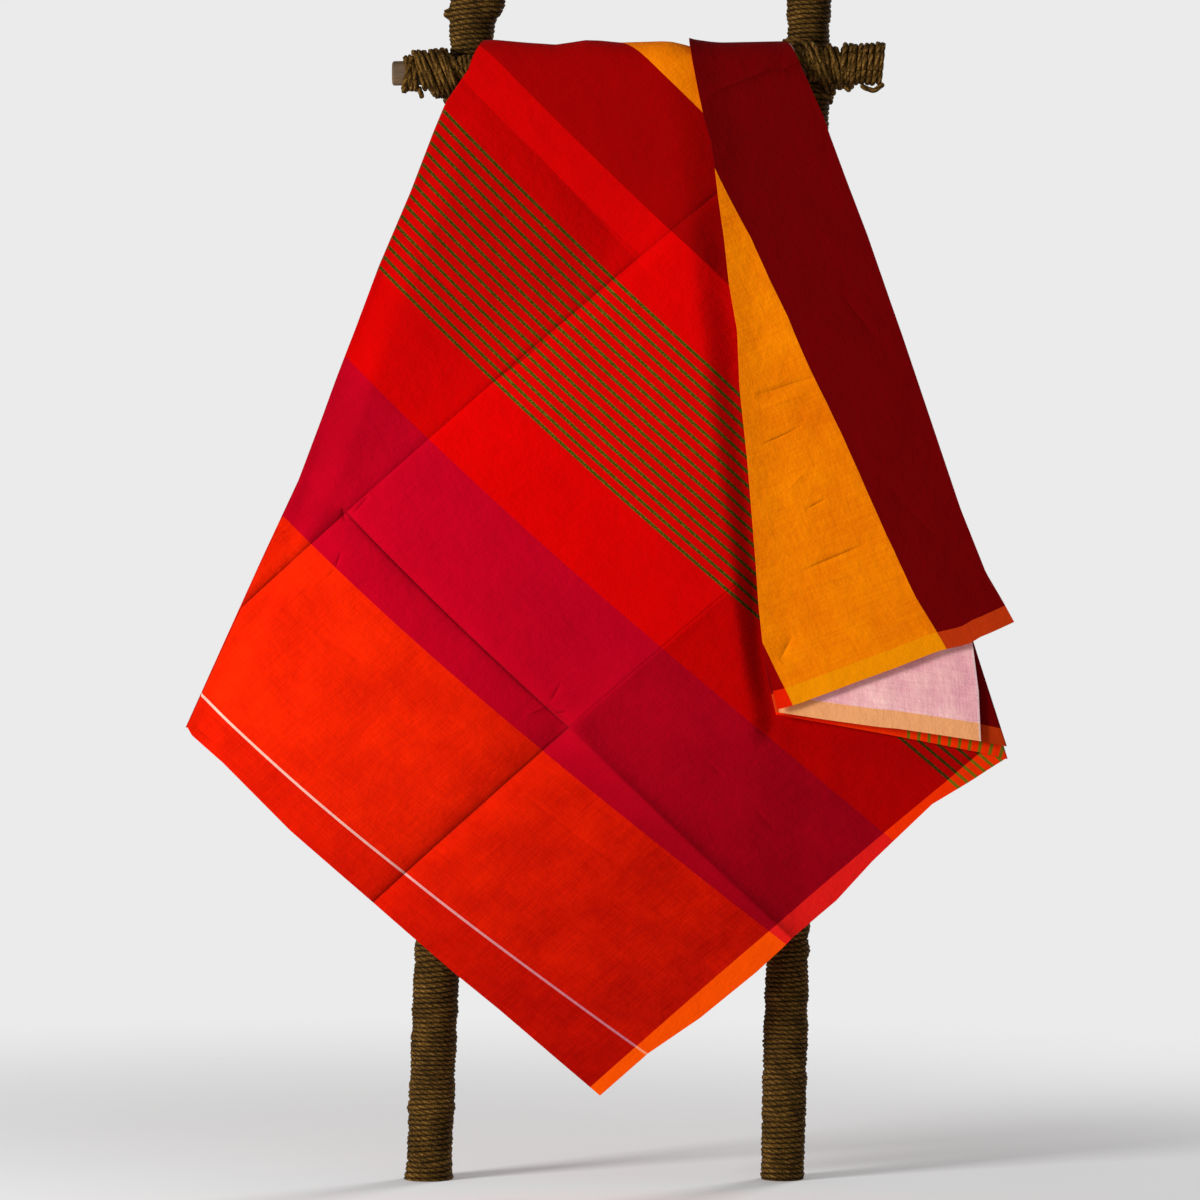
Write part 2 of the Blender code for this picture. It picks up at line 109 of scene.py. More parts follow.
# Layers in chain order: name, columns, side where it starts, hem, left edge, right edge,
# depth added at the hem on the left and the right (mm), and the x where its left and right edges
# cross the top of the rung, the back of the rung and the back hem (mm)
LAYERS = (
    ("hidden_panel", 12, "right", BACK_PANEL_HEM, LEFT_FOLD, BACK_PANEL_RIGHT, (0.0, 0.0),
     (-93.8, -75.0, -106.0), (149.0, 143.0, 133.0)),
    ("front_panel", 200, "left", FRONT_HEM, LEFT_FOLD, RIGHT_FOLD, (1.0, 1.0),
     (-93.8, -75.0, -106.0), (152.0, 144.5, 134.0)),
    ("second", 10, "right", SECOND_HEM, STACK_LEFT, RIGHT_FOLD, (6.5, 2.0),
     (76.0, 80.0, 8.0), (152.0, 144.5, 134.0)),
    ("third", 5, "left", THIRD_HEM, STACK_LEFT, INNER_RIGHT_FOLD, (7.5, 5.0),
     (76.0, 80.0, 8.0), (152.0, 144.5, 134.0)),
    ("fourth", 8, "right", FOURTH_HEM, STACK_LEFT, INNER_RIGHT_FOLD, (10.0, 6.0),
     (76.0, 80.0, 8.0), (152.0, 144.5, 134.0)),
    ("pink", 22, "left", PINK_HEM, STACK_LEFT, PINK_RIGHT, (11.0, 10.0),
     (76.0, 80.0, 20.0), (156.0, 144.0, 133.0)),
)
# The flap's left fold stands out past the stack's by this much, mm
FLAP_PAST_STACK = 1.6
FLAP_LEFT = STACK_LEFT[:2] + tuple((z, x - FLAP_PAST_STACK) for z, x in STACK_LEFT[2:])
FLAP = ("flap", 22, "left", FLAP_HEM, FLAP_LEFT, FLAP_RIGHT, (15.0, 13.5),
        (74.5, 79.0, 20.0), (153.5, 144.0, 133.0))
# How far the cloth's crest stands up over the rung's ropes: x and height, mm
CREST_LIFT = ((-100.0, 6.0), (-87.0, 6.0), (-62.0, 3.2), (-37.0, 1.0), (-24.0, 2.6), (-12.0, 4.2),
              (0.0, 3.6), (17.0, 1.6), (60.0, 2.0), (72.0, 0.8), (78.0, 0.0))
# Height of each layer's back hem, and how much further back each next layer ends there (mm)
BACK_HEM_Z = (0.212, 0.216, 0.222, 0.226, 0.230, 0.236)
BACK_SPREAD = 0.6
# Points of each layer up its front, over the rung and down its back, and in the turns between layers
FRONT_ROWS, ARC_ROWS, BACK_ROWS = 128, 12, 12
FOLD_COLUMNS = 4
BACK_TURN_ROWS = 4
# Below 1, the rows of a layer's front lie closer together towards the rung
ROW_SPACING_POWER = 0.9
# Shares of the front panel's width where its hem has corners
FRONT_CORNERS = (0.012, 0.51, 0.74, 0.748)

# Cloth pattern sizes
CLOTH_WIDTH, CLOTH_LENGTH = 1.17, 2.04
# Where the front panel's cloth width v and length u fall, in mm, as sums over powers of x / 300 mm and
# (height - 500 mm) / 400 mm: rows of (x power, height power, v part, u part)
PANEL_WEAVE = ((0, 0, 325.8, 330.5), (0, 1, 302.6, 302.4), (0, 2, -6.5, -5.0), (0, 3, -7.9, 0.0),
               (1, 0, 197.8, -195.8), (1, 1, 21.8, 11.7), (1, 2, -23.0, 0.0), (2, 0, 1.6, 2.4),
               (2, 1, -23.1, 0.0), (3, 0, 0.3, 0.0))
# Cloth width v at the left and right edges of each narrow layer, at the hem and at the rung, mm
LAYER_WIDTHS = {
    "second": (629.0, 437.0, 640.0, 735.0),
    "third": (629.0, 819.0, 640.0, 760.0),
    "fourth": (985.0, 819.0, 800.0, 760.0),
    "pink": (995.0, 1170.0, 930.0, 1170.0),
}
# Where the amber band ends across the flap: share of its drop from the rung, share of its width
AMBER_EDGE = ((0.0, -0.36), (0.062, -0.21), (0.12, -0.10), (0.179, 0.0), (0.241, 0.102), (0.304, 0.198),
              (0.36, 0.262), (0.42, 0.322), (0.48, 0.376), (0.54, 0.432), (0.60, 0.486), (0.66, 0.530),
              (0.72, 0.566), (0.80, 0.608), (0.875, 0.646), (0.93, 0.676), (0.982, 0.702), (1.0, 0.710))
AMBER_END = 0.7902
# Width of cloth across the flap: share of its drop from the rung, width in mm
FLAP_WIDTHS = ((0.0, 95.0), (0.30, 124.0), (0.60, 158.0), (0.92, 191.0), (1.0, 199.0))
# Cloth length for each metre of drop: the folded layers and the flap hang a little slack
LAYER_SLACK, FLAP_SLACK = 0.97, 0.93
# Cloth width in the middle of the hidden panel, and its cloth length at its hem
HIDDEN_WIDTH, HIDDEN_LENGTH = 0.95, 0.02
# Bands across the cloth from the orange selvedge: start in mm, colour, colour in the woven end band
# (sRGB), strength of its uneven threads
BANDS = (
    (0.0, (224, 25, 0), (255, 84, 0), 0.55),
    (50.6, (245, 190, 170), (255, 150, 110), 0.2),
    (52.4, (238, 33, 0), (255, 80, 0), 0.55),
    (189.8, (194, 0, 30), (234, 28, 24), 0.28),
    (317.4, (224, 0, 0), (255, 50, 0), 0.20),
    (578.7, (160, 0, 0), (252, 34, 0), 0.20),
    (662.0, (255, 132, 0), (255, 150, 0), 0.42),
    (790.2, (114, 0, 3), (198, 56, 12), 0.22),
    (996.0, (255, 188, 192), (255, 176, 116), 0.55),
)
STRIPE_START, STRIPE_END, STRIPE_PITCH, STRIPE_WIDTH = 0.3888, 0.5216, 0.00858, 0.0027
STRIPE_GREEN, STRIPE_GREEN_END = (70, 74, 8), (124, 108, 16)
STRIPE_FLECK, FRAY_COLOUR = (128, 116, 44), (232, 205, 205)
# Frayed selvedge: its width, the fleck level above which it is pale, and how pale
FRAY_WIDTH, FRAY_LEVEL, FRAY_SHARE = 0.0016, 0.40, 0.8
# Flecks on the green threads: repeats for each metre of cloth length and width, level and strength
FLECK_ALONG, FLECK_ACROSS, FLECK_LEVEL, FLECK_SHARE = 900.0, 500.0, 0.55, 0.55
# Uneven threads: repeats for each metre along and across a thread, and shares of warp and weft
THREAD_ALONG, THREAD_ACROSS, WARP_SHARE, WEFT_SHARE = 30.0, 700.0, 0.45, 0.55
# Noise of the threads, the soft patches, and the rope's patches and fibres: scale, detail and roughness
THREAD_NOISE, CLOUD_NOISE = (1.0, 3.0, 0.6), (20.0, 7.0, 0.68)
PATCH_NOISE, FIBRE_NOISE = (60.0, 5.0, 0.65), (800.0, 4.0, 0.75)
# How strongly threads and patches change the tone, and how much less they do so in the end bands
SLUB_GAIN, CLOUD_GAIN, END_CALM = 3.2, 2.2, 0.85
# A deeper tone changes red, green and blue by these powers
SHADE_POWERS = (1.0, 2.2, 1.3)
# Painted shade, not dye: the colour is darker below the first length given on the orange side, and again
# above the lengths on the next line, for the light falling off towards the lower right and the top
LOW_SHADE_LENGTH, LOW_SHADE_WIDTH = 0.45, 0.60
TOP_SHADE_LENGTHS, TOP_SHADE_WIDTH = (0.49, 0.57), 0.5787
# Weave: distance of its threads, and bump heights of weave, uneven threads and soft patches
WEAVE_PITCH, WEAVE_BUMP, SLUB_BUMP, CLOUD_BUMP = 0.0009, 0.00002, 0.00018, 0.0032
# Small creases: x and height of both ends, how high the crease stands and how far it reaches, mm
SMALL_CREASES = (
    (-41.8, 398.7, -31.8, 416.5, -1.2, 1.3), (-64.0, 387.5, -42.9, 397.6, 1.2, 1.8),
    (-42.9, 398.7, -22.9, 380.9, -1.6, 1.4), (-37.4, 390.9, -26.2, 392.0, -1.2, 1.0),
    (-213.5, 561.0, -211.5, 550.0, -2.0, 1.8), (-205.2, 555.4, -190.7, 572.1, -1.6, 1.5),
    (-290.0, 501.0, -246.0, 540.0, -1.6, 1.6), (-214.1, 525.4, -219.6, 511.0, -1.2, 1.3),
    (-219.6, 511.0, -226.0, 503.0, -0.8, 1.2), (-68.5, 327.5, 27.0, 255.3, -0.8, 2.4),
    (87.6, 353.1, 103.9, 336.8, -0.7, 2.0), (127.2, 313.5, 145.8, 292.5, -0.7, 2.0),
    (-92.0, 662.0, -34.0, 708.0, -2.0, 1.3), (-60.0, 688.0, 84.0, 808.0, -1.6, 5.0),
    (-167.0, 795.6, -138.0, 755.0, -0.9, 2.0), (-142.0, 760.0, -116.0, 733.0, -0.9, 2.0),
    (-27.0, 737.7, -12.0, 725.0, -0.9, 1.5), (-94.6, 905.0, 66.0, 730.0, -1.0, 7.0),
    (-250.0, 470.0, -180.0, 420.0, -0.6, 5.0), (-330.0, 395.0, -300.0, 372.0, -1.4, 3.0),
    (-338.0, 380.0, -318.0, 366.0, -1.4, 2.0), (-120.0, 250.0, -60.0, 300.0, 0.6, 5.0),
    (82.0, 903.0, 168.0, 932.0, 3.2, 4.5),
    (128.0, 654.0, 182.0, 671.0, -2.2, 2.6), (133.0, 644.0, 172.0, 655.0, 1.2, 4.0),
    (133.0, 613.0, 168.0, 629.0, -1.3, 1.0), (170.0, 559.0, 188.0, 569.0, -1.2, 1.0),
    (166.0, 508.0, 222.0, 532.0, -1.8, 1.6), (160.0, 493.0, 208.0, 505.0, 1.0, 3.5),
    (148.0, 434.0, 160.0, 456.0, -2.0, 4.0), (196.0, 745.0, 232.0, 700.0, -0.8, 3.5),
    (150.0, 570.0, 178.0, 600.0, 0.8, 5.0), (220.0, 600.0, 300.0, 520.0, -0.8, 6.0),
)
# Length of cloth that the woven end band takes up
END_BAND = 0.0145
# Storage creases: the cloth was folded across every CREASE_PITCH of its length and once along it
CREASE_PITCH = 0.2556
LONG_CREASE_LENGTHS = (0.0, 0.2556, 0.5112)
LONG_CREASE_WIDTHS = (0.1962, 0.2178, 0.2276)
# Broad relief of the front panel: how far it stands forward and the height and reach of its creases
PANEL_FORWARD = 0.0070
CREASE_HEIGHT, CREASE_REACH, CREASE_ROUND = 0.0040, 0.024, 0.005
# How the creases fold before and past the place where two cross, from -1 for a valley to 1 for a ridge,
# and the length of cloth over which that turns
FIRST_SIGNS, SECOND_SIGNS, LONG_SIGNS, SIGN_TURN = (-1.0, 0.9), (-1.0, -0.55), (1.0, -0.5), 0.012
# Cloth length where the lengthwise crease is gone, and over how much of it it fades
LONG_CREASE_END, LONG_CREASE_FADE = 0.56, 0.06
# The roll beside the stack: its least width, what is added higher up, and how it ends above the stack's hem
ROLL_WIDTH, ROLL_ADDED, ROLL_LOW, ROLL_RISE = 0.018, 0.012, 0.45, 0.30
ROLL_GAP, ROLL_HEM_DROP, ROLL_HEM_FADE = 0.004, 0.030, 0.024
# Height where all relief of the front panel is gone, how far below it is full, and the same from its left
RELIEF_TOP, RELIEF_FADE, RELIEF_LEFT = 0.935, 0.16, 0.035
# A second lengthwise crease near the rung: its cloth width, and reach and strength of its relief
UPPER_CREASE_WIDTH, UPPER_CREASE_REACH, UPPER_CREASE_RELIEF = 0.548, 0.060, 1.5
UPPER_CREASE_START, UPPER_CREASE_FADE = 0.50, 0.03
# Slow waves of the front panel: size, then radians for each metre and start, by length and by width
PANEL_WAVES = ((0.30, 19.0, 0.6, 13.0, 0.4), (0.22, 41.0, 0.0, 33.0, 0.0))
# Bump in the sharp middle of the creases: height before and added past where two cross, and reach
FIRST_BUMP, SECOND_BUMP = (-0.0048, 0.0072, 0.0072), (-0.0036, 0.0016, 0.0036)
LONG_BUMP = (0.0052, -0.0080, 0.0052)
UPPER_BUMP, UPPER_BUMP_REACH = -0.015, 0.090
GROOVE_BUMP, LONG_GROOVE_BUMP, GROOVE_REACH = -0.0011, -0.0012, 0.0010
# The creases' bump stays within this width and length of cloth, so that only the front panel has it
CREASED_WIDTH, CREASED_LENGTH = 0.70, 0.60

# Rope and wood: shares of the noise level and their colours (sRGB)
ROPE_TONES = ((0.05, (20, 12, 3)), (0.35, (52, 34, 8)), (0.60, (86, 60, 18)), (0.82, (130, 92, 38)),
              (1.0, (188, 146, 84)))
WOOD_TONES = ((0.3, (58, 40, 22)), (0.55, (104, 80, 52)), (0.75, (134, 108, 74)))
WOOD_GRAIN = (18.0, 160.0, 160.0)
STRAND_BUMP, FIBRE_BUMP = 0.0006, 0.0012
# Rope: how far patches move the strands and fibres move the turns, how narrow the painted shade line between
# turns is, and how much strands (painted shade between them, painted highlight on their crowns), a base,
# fibres and patches count in its tone
LAY_WANDER, TURN_WANDER, GROOVE_SHADE_POWER = 1.2, 0.5, 0.4
STRAND_SHADE, BASE_TONE, FIBRE_TONE, PATCH_TONE = 0.30, 0.42, 1.5, 0.7
# Turns on the poles: depth of the line between them, how deep they seat, lumps, uneven turns and thickness
TURN_DEPTH, TURN_SEAT, TURN_LUMPS, TURN_UNEVEN = 0.0014, 0.0012, 0.00022, 0.0004
POLE_UNEVEN, POLE_MARKS = 0.00045, 160
# A pole's ends are rounded over END_ROUND of its height by END_CUT
END_ROUND, END_CUT = 0.004, 0.0015
# Strands on a pole: number round it, lean over each turn and shift from turn to turn
POLE_STRANDS, STRAND_LEAN, STRAND_SHIFT, SHIFT_WAVE = 18, 1.3, 7.7, 12.9898
# Half the depth of the left pole where the lashing goes round it
POLE_HALF = 0.0186
# Length along a lashing's rope in which its three strands turn by one radian
STRAND_LAY = 0.0016
# Points of a pole: rows up its height and columns round it
POLE_ROWS, POLE_COLUMNS = 1500, 64
# The rung's rounded ends: distance along it and radius
RUNG_PROFILE = ((0.0, 0.0085), (0.0008, 0.0099), (0.002, RUNG_RADIUS), (0.15, RUNG_RADIUS),
                (0.3, RUNG_RADIUS), (0.4085, RUNG_RADIUS), (0.4092, 0.0095))

# Stage: the photo's frame is FRAME_WIDTH wide and centred at VIEW_HEIGHT
FRAME_WIDTH, VIEW_HEIGHT, SENSOR_WIDTH = 0.996, 0.4847, 36.0
FOCUS_Y = -0.03
LIGHT_AIM = (0.0, 0.0, 0.5)
# Lights: name, place, size in metres and the name of their power
LIGHTS = (("key light", (-1.75, -1.30, 0.95), 0.6, "key"), ("back light", (1.6, 2.2, 1.7), 1.0, "back"))
# Floor: half its width, points along it, its drop below the feet and the distances where it fades
FLOOR_REACH, FLOOR_POINTS, FLOOR_DROP, FLOOR_FADE = 1.8, 13, 0.0003, (0.35, 1.7)


def rung_height(x):
    """Height of the rung's axis at x: a straight, slightly rising line."""
    share = (x - RUNG_LEFT_X) / (RUNG_RIGHT_X - RUNG_LEFT_X)
    return RUNG_LEFT_Z + share * (RUNG_RIGHT_Z - RUNG_LEFT_Z)


def pole_y(z):
    """Depth of a pole's axis at height z: the rack leans back by a constant share of its height."""
    return FOOT_Y + LEAN * z


RUNG_Y = pole_y(RUNG_LINE) - RUNG_BACK_FROM_POLE


def smooth(share):
    """Smooth step from 0 to 1: three times the square less twice the cube."""
    share = np.clip(share, 0.0, 1.0)
    return share * share * (3.0 - 2.0 * share)


def along(rows, key, column=1):
    """Value of a table's column at key, between rows on straight lines, in metres."""
    table = np.array(rows)
    return np.interp(key, table[:, 0], table[:, column]) * MM


def edge_x(rows, z):
    """x of an edge at height z."""
    return along(rows, np.asarray(z) / MM)


def edge_z(rows, x):
    """Height in metres of a hem at x: straight lines between its rows."""
    return np.interp(x, [row[1] * MM for row in rows], [row[2] * MM for row in rows])


def seat(x, z):
    """Distance of the innermost cloth from the rung's axis: high on the left, low under the stack."""
    middle = edge_x(STACK_LEFT, z)
    left, right = middle - SEAT_STEP_LEFT, middle + SEAT_STEP_RIGHT
    lower = smooth((x - left) / (right - left))
    fade = 0.35 + 0.65 * smooth((z - HEM_END_Z) / 0.5)
    return HIGH_SEAT - (HIGH_SEAT - LOW_SEAT) * lower * fade


def three_way(values, share):
    """Parabola through three values at shares 0, a half and 1."""
    front, top, back = values
    ends = front * (1 - share) * (1 - 2 * share) + back * share * (2 * share - 1)
    return ends + 4 * top * share * (1 - share)


def front_point(layer, share, rise):
    """x and z of a layer's front: a patch between its hem (rise 0), the rung (rise 1) and its two edges."""
    hem, left, right = layer[3:6]
    hem_x, hem_z = along(hem, share), along(hem, share, 2)
    left_hem_z, right_hem_z = hem[0][2] * MM, hem[-1][2] * MM
    left_x = edge_x(left, left_hem_z + rise * (RUNG_LINE - left_hem_z))
    right_x = edge_x(right, right_hem_z + rise * (RUNG_LINE - right_hem_z))
    left_top, right_top = edge_x(left, RUNG_LINE), edge_x(right, RUNG_LINE)
    top_x = left_top * (1 - share) + right_top * share
    straight = (1 - share) * ((1 - rise) * hem[0][1] * MM + rise * left_top) + share * (
        (1 - rise) * hem[-1][1] * MM + rise * right_top)
    x = (1 - rise) * hem_x + rise * top_x + (1 - share) * left_x + share * right_x - straight
    return x, (1 - rise) * hem_z + rise * rung_height(top_x)


def front_depth(x, z, added):
    """y of a layer's front: it hangs from the rung and leans a little forward down to the hem."""
    drop = np.clip((RUNG_LINE - z) / (RUNG_LINE - HEM_END_Z), 0, 1)
    return RUNG_Y - seat(x, z) - HEM_FORWARD * drop ** FRONT_HANG_EASE - added


def crease_signs(length, width):
    """How each storage crease folds, from -1 for a valley to 1 for a ridge: it turns over where two cross."""
    long_width = np.interp(length, LONG_CREASE_LENGTHS, LONG_CREASE_WIDTHS)
    above = smooth((width - long_width) / SIGN_TURN + 0.5)
    near = smooth((length - CREASE_PITCH) / SIGN_TURN + 0.5)
    signs = (before + (past - before) * share for (before, past), share in (
        (FIRST_SIGNS, above), (SECOND_SIGNS, above), (LONG_SIGNS, near)))
    return long_width, *signs


def soft_fold(distance):
    """A falling exponential of the distance, with a rounded top."""
    return np.exp(-(np.hypot(distance, CREASE_ROUND) - CREASE_ROUND) / CREASE_REACH)


def panel_relief(x, z):
    """How far the front panel stands forward of its flat hang: a roll beside the stack of layers, and
    falling exponentials on both sides of each storage crease."""
    length, width = panel_weave(x, z)
    long_width, first, second, lengthwise = crease_signs(length, width)
    tent = first * soft_fold(length - CREASE_PITCH) + second * soft_fold(length - 2 * CREASE_PITCH)
    fade = smooth((LONG_CREASE_END - length) / LONG_CREASE_FADE)
    tent = tent + lengthwise * soft_fold(width - long_width) * fade
    upper = np.exp(-np.abs(width - UPPER_CREASE_WIDTH) / UPPER_CREASE_REACH)
    fade = smooth((length - UPPER_CREASE_START) / UPPER_CREASE_FADE)
    tent = tent - UPPER_CREASE_RELIEF * upper * fade
    for size, turns, start, turns_across, start_across in PANEL_WAVES:
        tent = tent + size * np.sin(length * turns + start) * np.sin(width * turns_across + start_across)
    wide = ROLL_WIDTH + ROLL_ADDED * smooth((z - ROLL_LOW) / ROLL_RISE)
    beside = smooth((x - edge_x(STACK_LEFT, z) + wide + ROLL_GAP) / wide)
    under = beside * smooth((z - edge_z(SECOND_HEM, x) + ROLL_HEM_DROP) / ROLL_HEM_FADE)
    hang = smooth((RELIEF_TOP - z) / RELIEF_FADE)
    rolled = PANEL_FORWARD * smooth((x - edge_x(LEFT_FOLD, z)) / RELIEF_LEFT)
    return np.maximum(hang * (1 - under) * (rolled + CREASE_HEIGHT * tent), 0.0)


def layer_parts(layer, order, share):
    """The three stretches of a layer on its column shares: front, over the rung and back, each as
    columns by rows by 3."""
    left, right, depths, left_over, right_over = layer[4:]
    share = np.asarray(share, dtype=float)[:, None]
    base = FIRST_LAYER + order * LAYER_PITCH
    extra = (depths[0] * (1 - share) + depths[1] * share) * MM
    rise = (np.linspace(0, 1, FRONT_ROWS + 1) ** ROW_SPACING_POWER)[None, :]
    x, z = front_point(layer, share, rise)
    relief = panel_relief(x, z) if layer[0] == "front_panel" else 0.0
    front = np.stack([x, front_depth(x, z, base + extra * (1 - rise)) - relief, z], axis=-1)
    turn = (np.arange(1, ARC_ROWS + 1) / ARC_ROWS)[None, :]
    low = three_way((edge_x(left, RUNG_LINE), left_over[0] * MM, left_over[1] * MM), turn)
    high = three_way((edge_x(right, RUNG_LINE), right_over[0] * MM, right_over[1] * MM), turn)
    x = low + (high - low) * share
    radius = seat(x, RUNG_LINE) + base
    angle = math.pi * turn
    crest = radius + along(CREST_LIFT, x / MM)
    arc = np.stack([x, RUNG_Y - radius * np.cos(angle), rung_height(x) + crest * np.sin(angle)], axis=-1)
    fall = (np.arange(1, BACK_ROWS + 1) / BACK_ROWS)[None, :]
    low = (left_over[1] * (1 - fall) + left_over[2] * fall) * MM
    high = (right_over[1] * (1 - fall) + right_over[2] * fall) * MM
    x = low + (high - low) * share
    end = BACK_HEM_Z[min(order, len(BACK_HEM_Z) - 1)]
    z = rung_height(x) * (1 - fall) + end * fall
    back = np.stack([x, RUNG_Y + seat(x, RUNG_LINE) + base + fall * order * BACK_SPREAD * MM, z], axis=-1)
    return front, arc, back


def layer_grid(layer, order, share):
    """One layer's points from the front hem to the back hem."""
    return np.concatenate(layer_parts(layer, order, share), axis=1)


def layer_shares(layer):
    """Column shares of a layer, in chain order; the front panel has columns on its corners."""
    shares = np.linspace(0, 1, layer[1] + 1)
    if layer[0] == "front_panel":
        for corner in FRONT_CORNERS:
            shares[1 + np.argmin(np.abs(shares[1:-1] - corner))] = corner
        shares = np.sort(shares)
    return shares[::-1] if layer[2] == "right" else shares


def fold_grid(first, second, side):
    """The round turn between two layers: half circles about the middle of their two edge lines."""
    middle, half = (first + second) / 2, (second - first) / 2
    reach = np.linalg.norm(half[:, :2], axis=1)
    angle = (math.pi * np.arange(1, FOLD_COLUMNS + 1) / (FOLD_COLUMNS + 1))[:, None, None]
    grid = middle - half * np.cos(angle)
    grid[:, :, 0] += side * reach * np.sin(angle[:, :, 0])
    return grid


def panel_weave(x, z):
    """Cloth length and width at points of the front panel, beyond the rung by the slope at the rung."""
    level = np.minimum(z, RUNG_LINE + 0.02)
    a, b = x / 0.3, (level - 0.5) / 0.4
    length, width, length_slope, width_slope = 0.0, 0.0, 0.0, 0.0
    for i, j, across, down in PANEL_WEAVE:
        term = a ** i * b ** j
        slope = a ** i * j * b ** max(j - 1, 0)
        width, length = width + across * term, length + down * term
        width_slope, length_slope = width_slope + across * slope, length_slope + down * slope
    over = (z - level) / 0.4
    return (length + length_slope * over) * MM, (width + width_slope * over) * MM


def unrolled_height(grid):
    """Height of each point if its column went straight on up past the rung instead of over it."""
    steps = np.linalg.norm(np.diff(grid, axis=1), axis=2)
    steps[:, :FRONT_ROWS] = np.diff(grid[:, :FRONT_ROWS + 1, 2], axis=1)
    run = np.concatenate([np.zeros((len(grid), 1)), np.cumsum(steps, axis=1)], axis=1)
    return grid[:, :1, 2] + run


def layer_weave(layer, grid, share):
    """Cloth length and width at a layer's points."""
    name = layer[0]
    height = unrolled_height(grid)
    if name == "front_panel":
        return panel_weave(grid[:, :, 0], height)
    share = np.asarray(share)[:, None]
    run = height - height[:, :1]
    if name == "hidden_panel":
        return HIDDEN_WIDTH + grid[:, :, 0], height - along(BACK_PANEL_HEM, share, 2) + HIDDEN_LENGTH
    hem_left, hem_right, top_left, top_right = LAYER_WIDTHS[name]
    rise = np.clip(run / run[:, FRONT_ROWS:FRONT_ROWS + 1], 0, 1)
    low = hem_left + (top_left - hem_left) * rise
    high = hem_right + (top_right - hem_right) * rise
    return run * LAYER_SLACK, (low + (high - low) * share) * MM


def flap_width(front_start, count, share):
    """Cloth width on the flap: the amber edge follows its own line, and the rest is laid off from it."""
    share = np.asarray(share)[:, None]
    down = np.clip((np.arange(count)[None, :] - front_start) / FRONT_ROWS, 0, 1)
    edge = along(AMBER_EDGE, down) / MM
    return AMBER_END + (share - edge) * along(FLAP_WIDTHS, down)


def flap_points(pink):
    """The flap's points from the pink layer's back hem on: a round turn below, up the back, over the rung
    and down the front."""
    front, arc, back = layer_parts(FLAP, len(LAYERS), layer_shares(LAYERS[-1]))
    up = np.concatenate([back[:, ::-1], arc[:, ::-1], front[:, ::-1]], axis=1)
    end, start = pink[:, -1:], up[:, :1]
    angle = (math.pi * np.arange(1, BACK_TURN_ROWS + 1) / (BACK_TURN_ROWS + 1))[None, :, None]
    middle, half = (end + start) / 2, (start - end) / 2
    turn = middle - half * np.cos(angle)
    turn[:, :, 2] -= np.linalg.norm(half, axis=2) * np.sin(angle[:, :, 0])
    return np.concatenate([turn, up], axis=1)


def cloth_points():
    """All points of the sarong's middle surface with their cloth length and width, and its quads."""
    columns, weave = [], []
    mix = (np.arange(1, FOLD_COLUMNS + 1) / (FOLD_COLUMNS + 1))[:, None, None]
    for order, layer in enumerate(LAYERS):
        shares = layer_shares(layer)
        grid = layer_grid(layer, order, shares)
        uv = np.stack(layer_weave(layer, grid, shares), axis=-1)
        if columns:
            columns.append(fold_grid(columns[-1][-1], grid[0], 1.0 if shares[0] > 0.5 else -1.0))
            weave.append(weave[-1][-1] * (1 - mix) + uv[0] * mix)
        columns.append(grid)
        weave.append(uv)
    main, main_weave = np.concatenate(columns), np.concatenate(weave)
    pink_start, rows = len(main) - len(grid), main.shape[1]
    flap = flap_points(grid)
    width = flap_width(flap.shape[1] - FRONT_ROWS - 1, flap.shape[1], shares)
    steps = np.linalg.norm(np.diff(flap, axis=1), axis=2)
    run = np.concatenate([np.cumsum(steps[:, ::-1], axis=1)[:, ::-1], np.zeros((len(flap), 1))], axis=1)
    flap_uv = np.stack([CLOTH_LENGTH - run * FLAP_SLACK, width], axis=-1)
    points = np.concatenate([main.reshape(-1, 3), flap.reshape(-1, 3)])
    uv = np.concatenate([main_weave.reshape(-1, 2), flap_uv.reshape(-1, 2)])
    first = len(main) * rows
    quads = np.concatenate([
        grid_quads(0, len(main), rows),
        grid_quads(first, len(flap), flap.shape[1]),
        seam_quads(pink_start, len(main), rows, first, flap.shape[1]),
    ])
    return points, uv, quads


def grid_quads(first, columns, rows):
    """Quads of a block of points that runs along its rows first."""
    c, r = np.meshgrid(np.arange(columns - 1), np.arange(rows - 1), indexing="ij")
    corner = (first + c * rows + r).ravel()
    return np.stack([corner, corner + rows, corner + rows + 1, corner + 1], axis=1)


def seam_quads(pink_start, columns, rows, first, flap_rows):
    """Quads that join the pink layer's back hem to the flap's first row."""
    above = np.arange(pink_start, columns) * rows + rows - 1
    below = first + np.arange(columns - pink_start) * flap_rows
    return np.stack([above[:-1], above[1:], below[1:], below[:-1]], axis=1)


def point_normals(points, quads):
    """Normals of a sheet's points: the sum of the cross products of their quads' diagonals."""
    a, b, c, d = (points[quads[:, i]] for i in range(4))
    face = np.cross(c - a, d - b)
    normal = np.zeros_like(points)
    for i in range(4):
        np.add.at(normal, quads[:, i], face)
    return normal / np.maximum(np.linalg.norm(normal, axis=1, keepdims=True), 1e-12)


def shell(points, quads, thickness):
    """A closed solid from a sheet: two faces half a thickness off it, joined round its free edges."""
    normal = point_normals(points, quads)
    outer, inner = points + normal * thickness / 2, points - normal * thickness / 2
    count = len(points)
    edges = np.concatenate([quads[:, [i, (i + 1) % 4]] for i in range(4)])
    _, where, uses = np.unique(np.sort(edges, axis=1), axis=0, return_index=True, return_counts=True)
    rim = edges[where[uses == 1]]
    sides = np.stack([rim[:, 1], rim[:, 0], rim[:, 0] + count, rim[:, 1] + count], axis=1)
    return np.concatenate([outer, inner]), np.concatenate([quads, quads[:, ::-1] + count, sides])


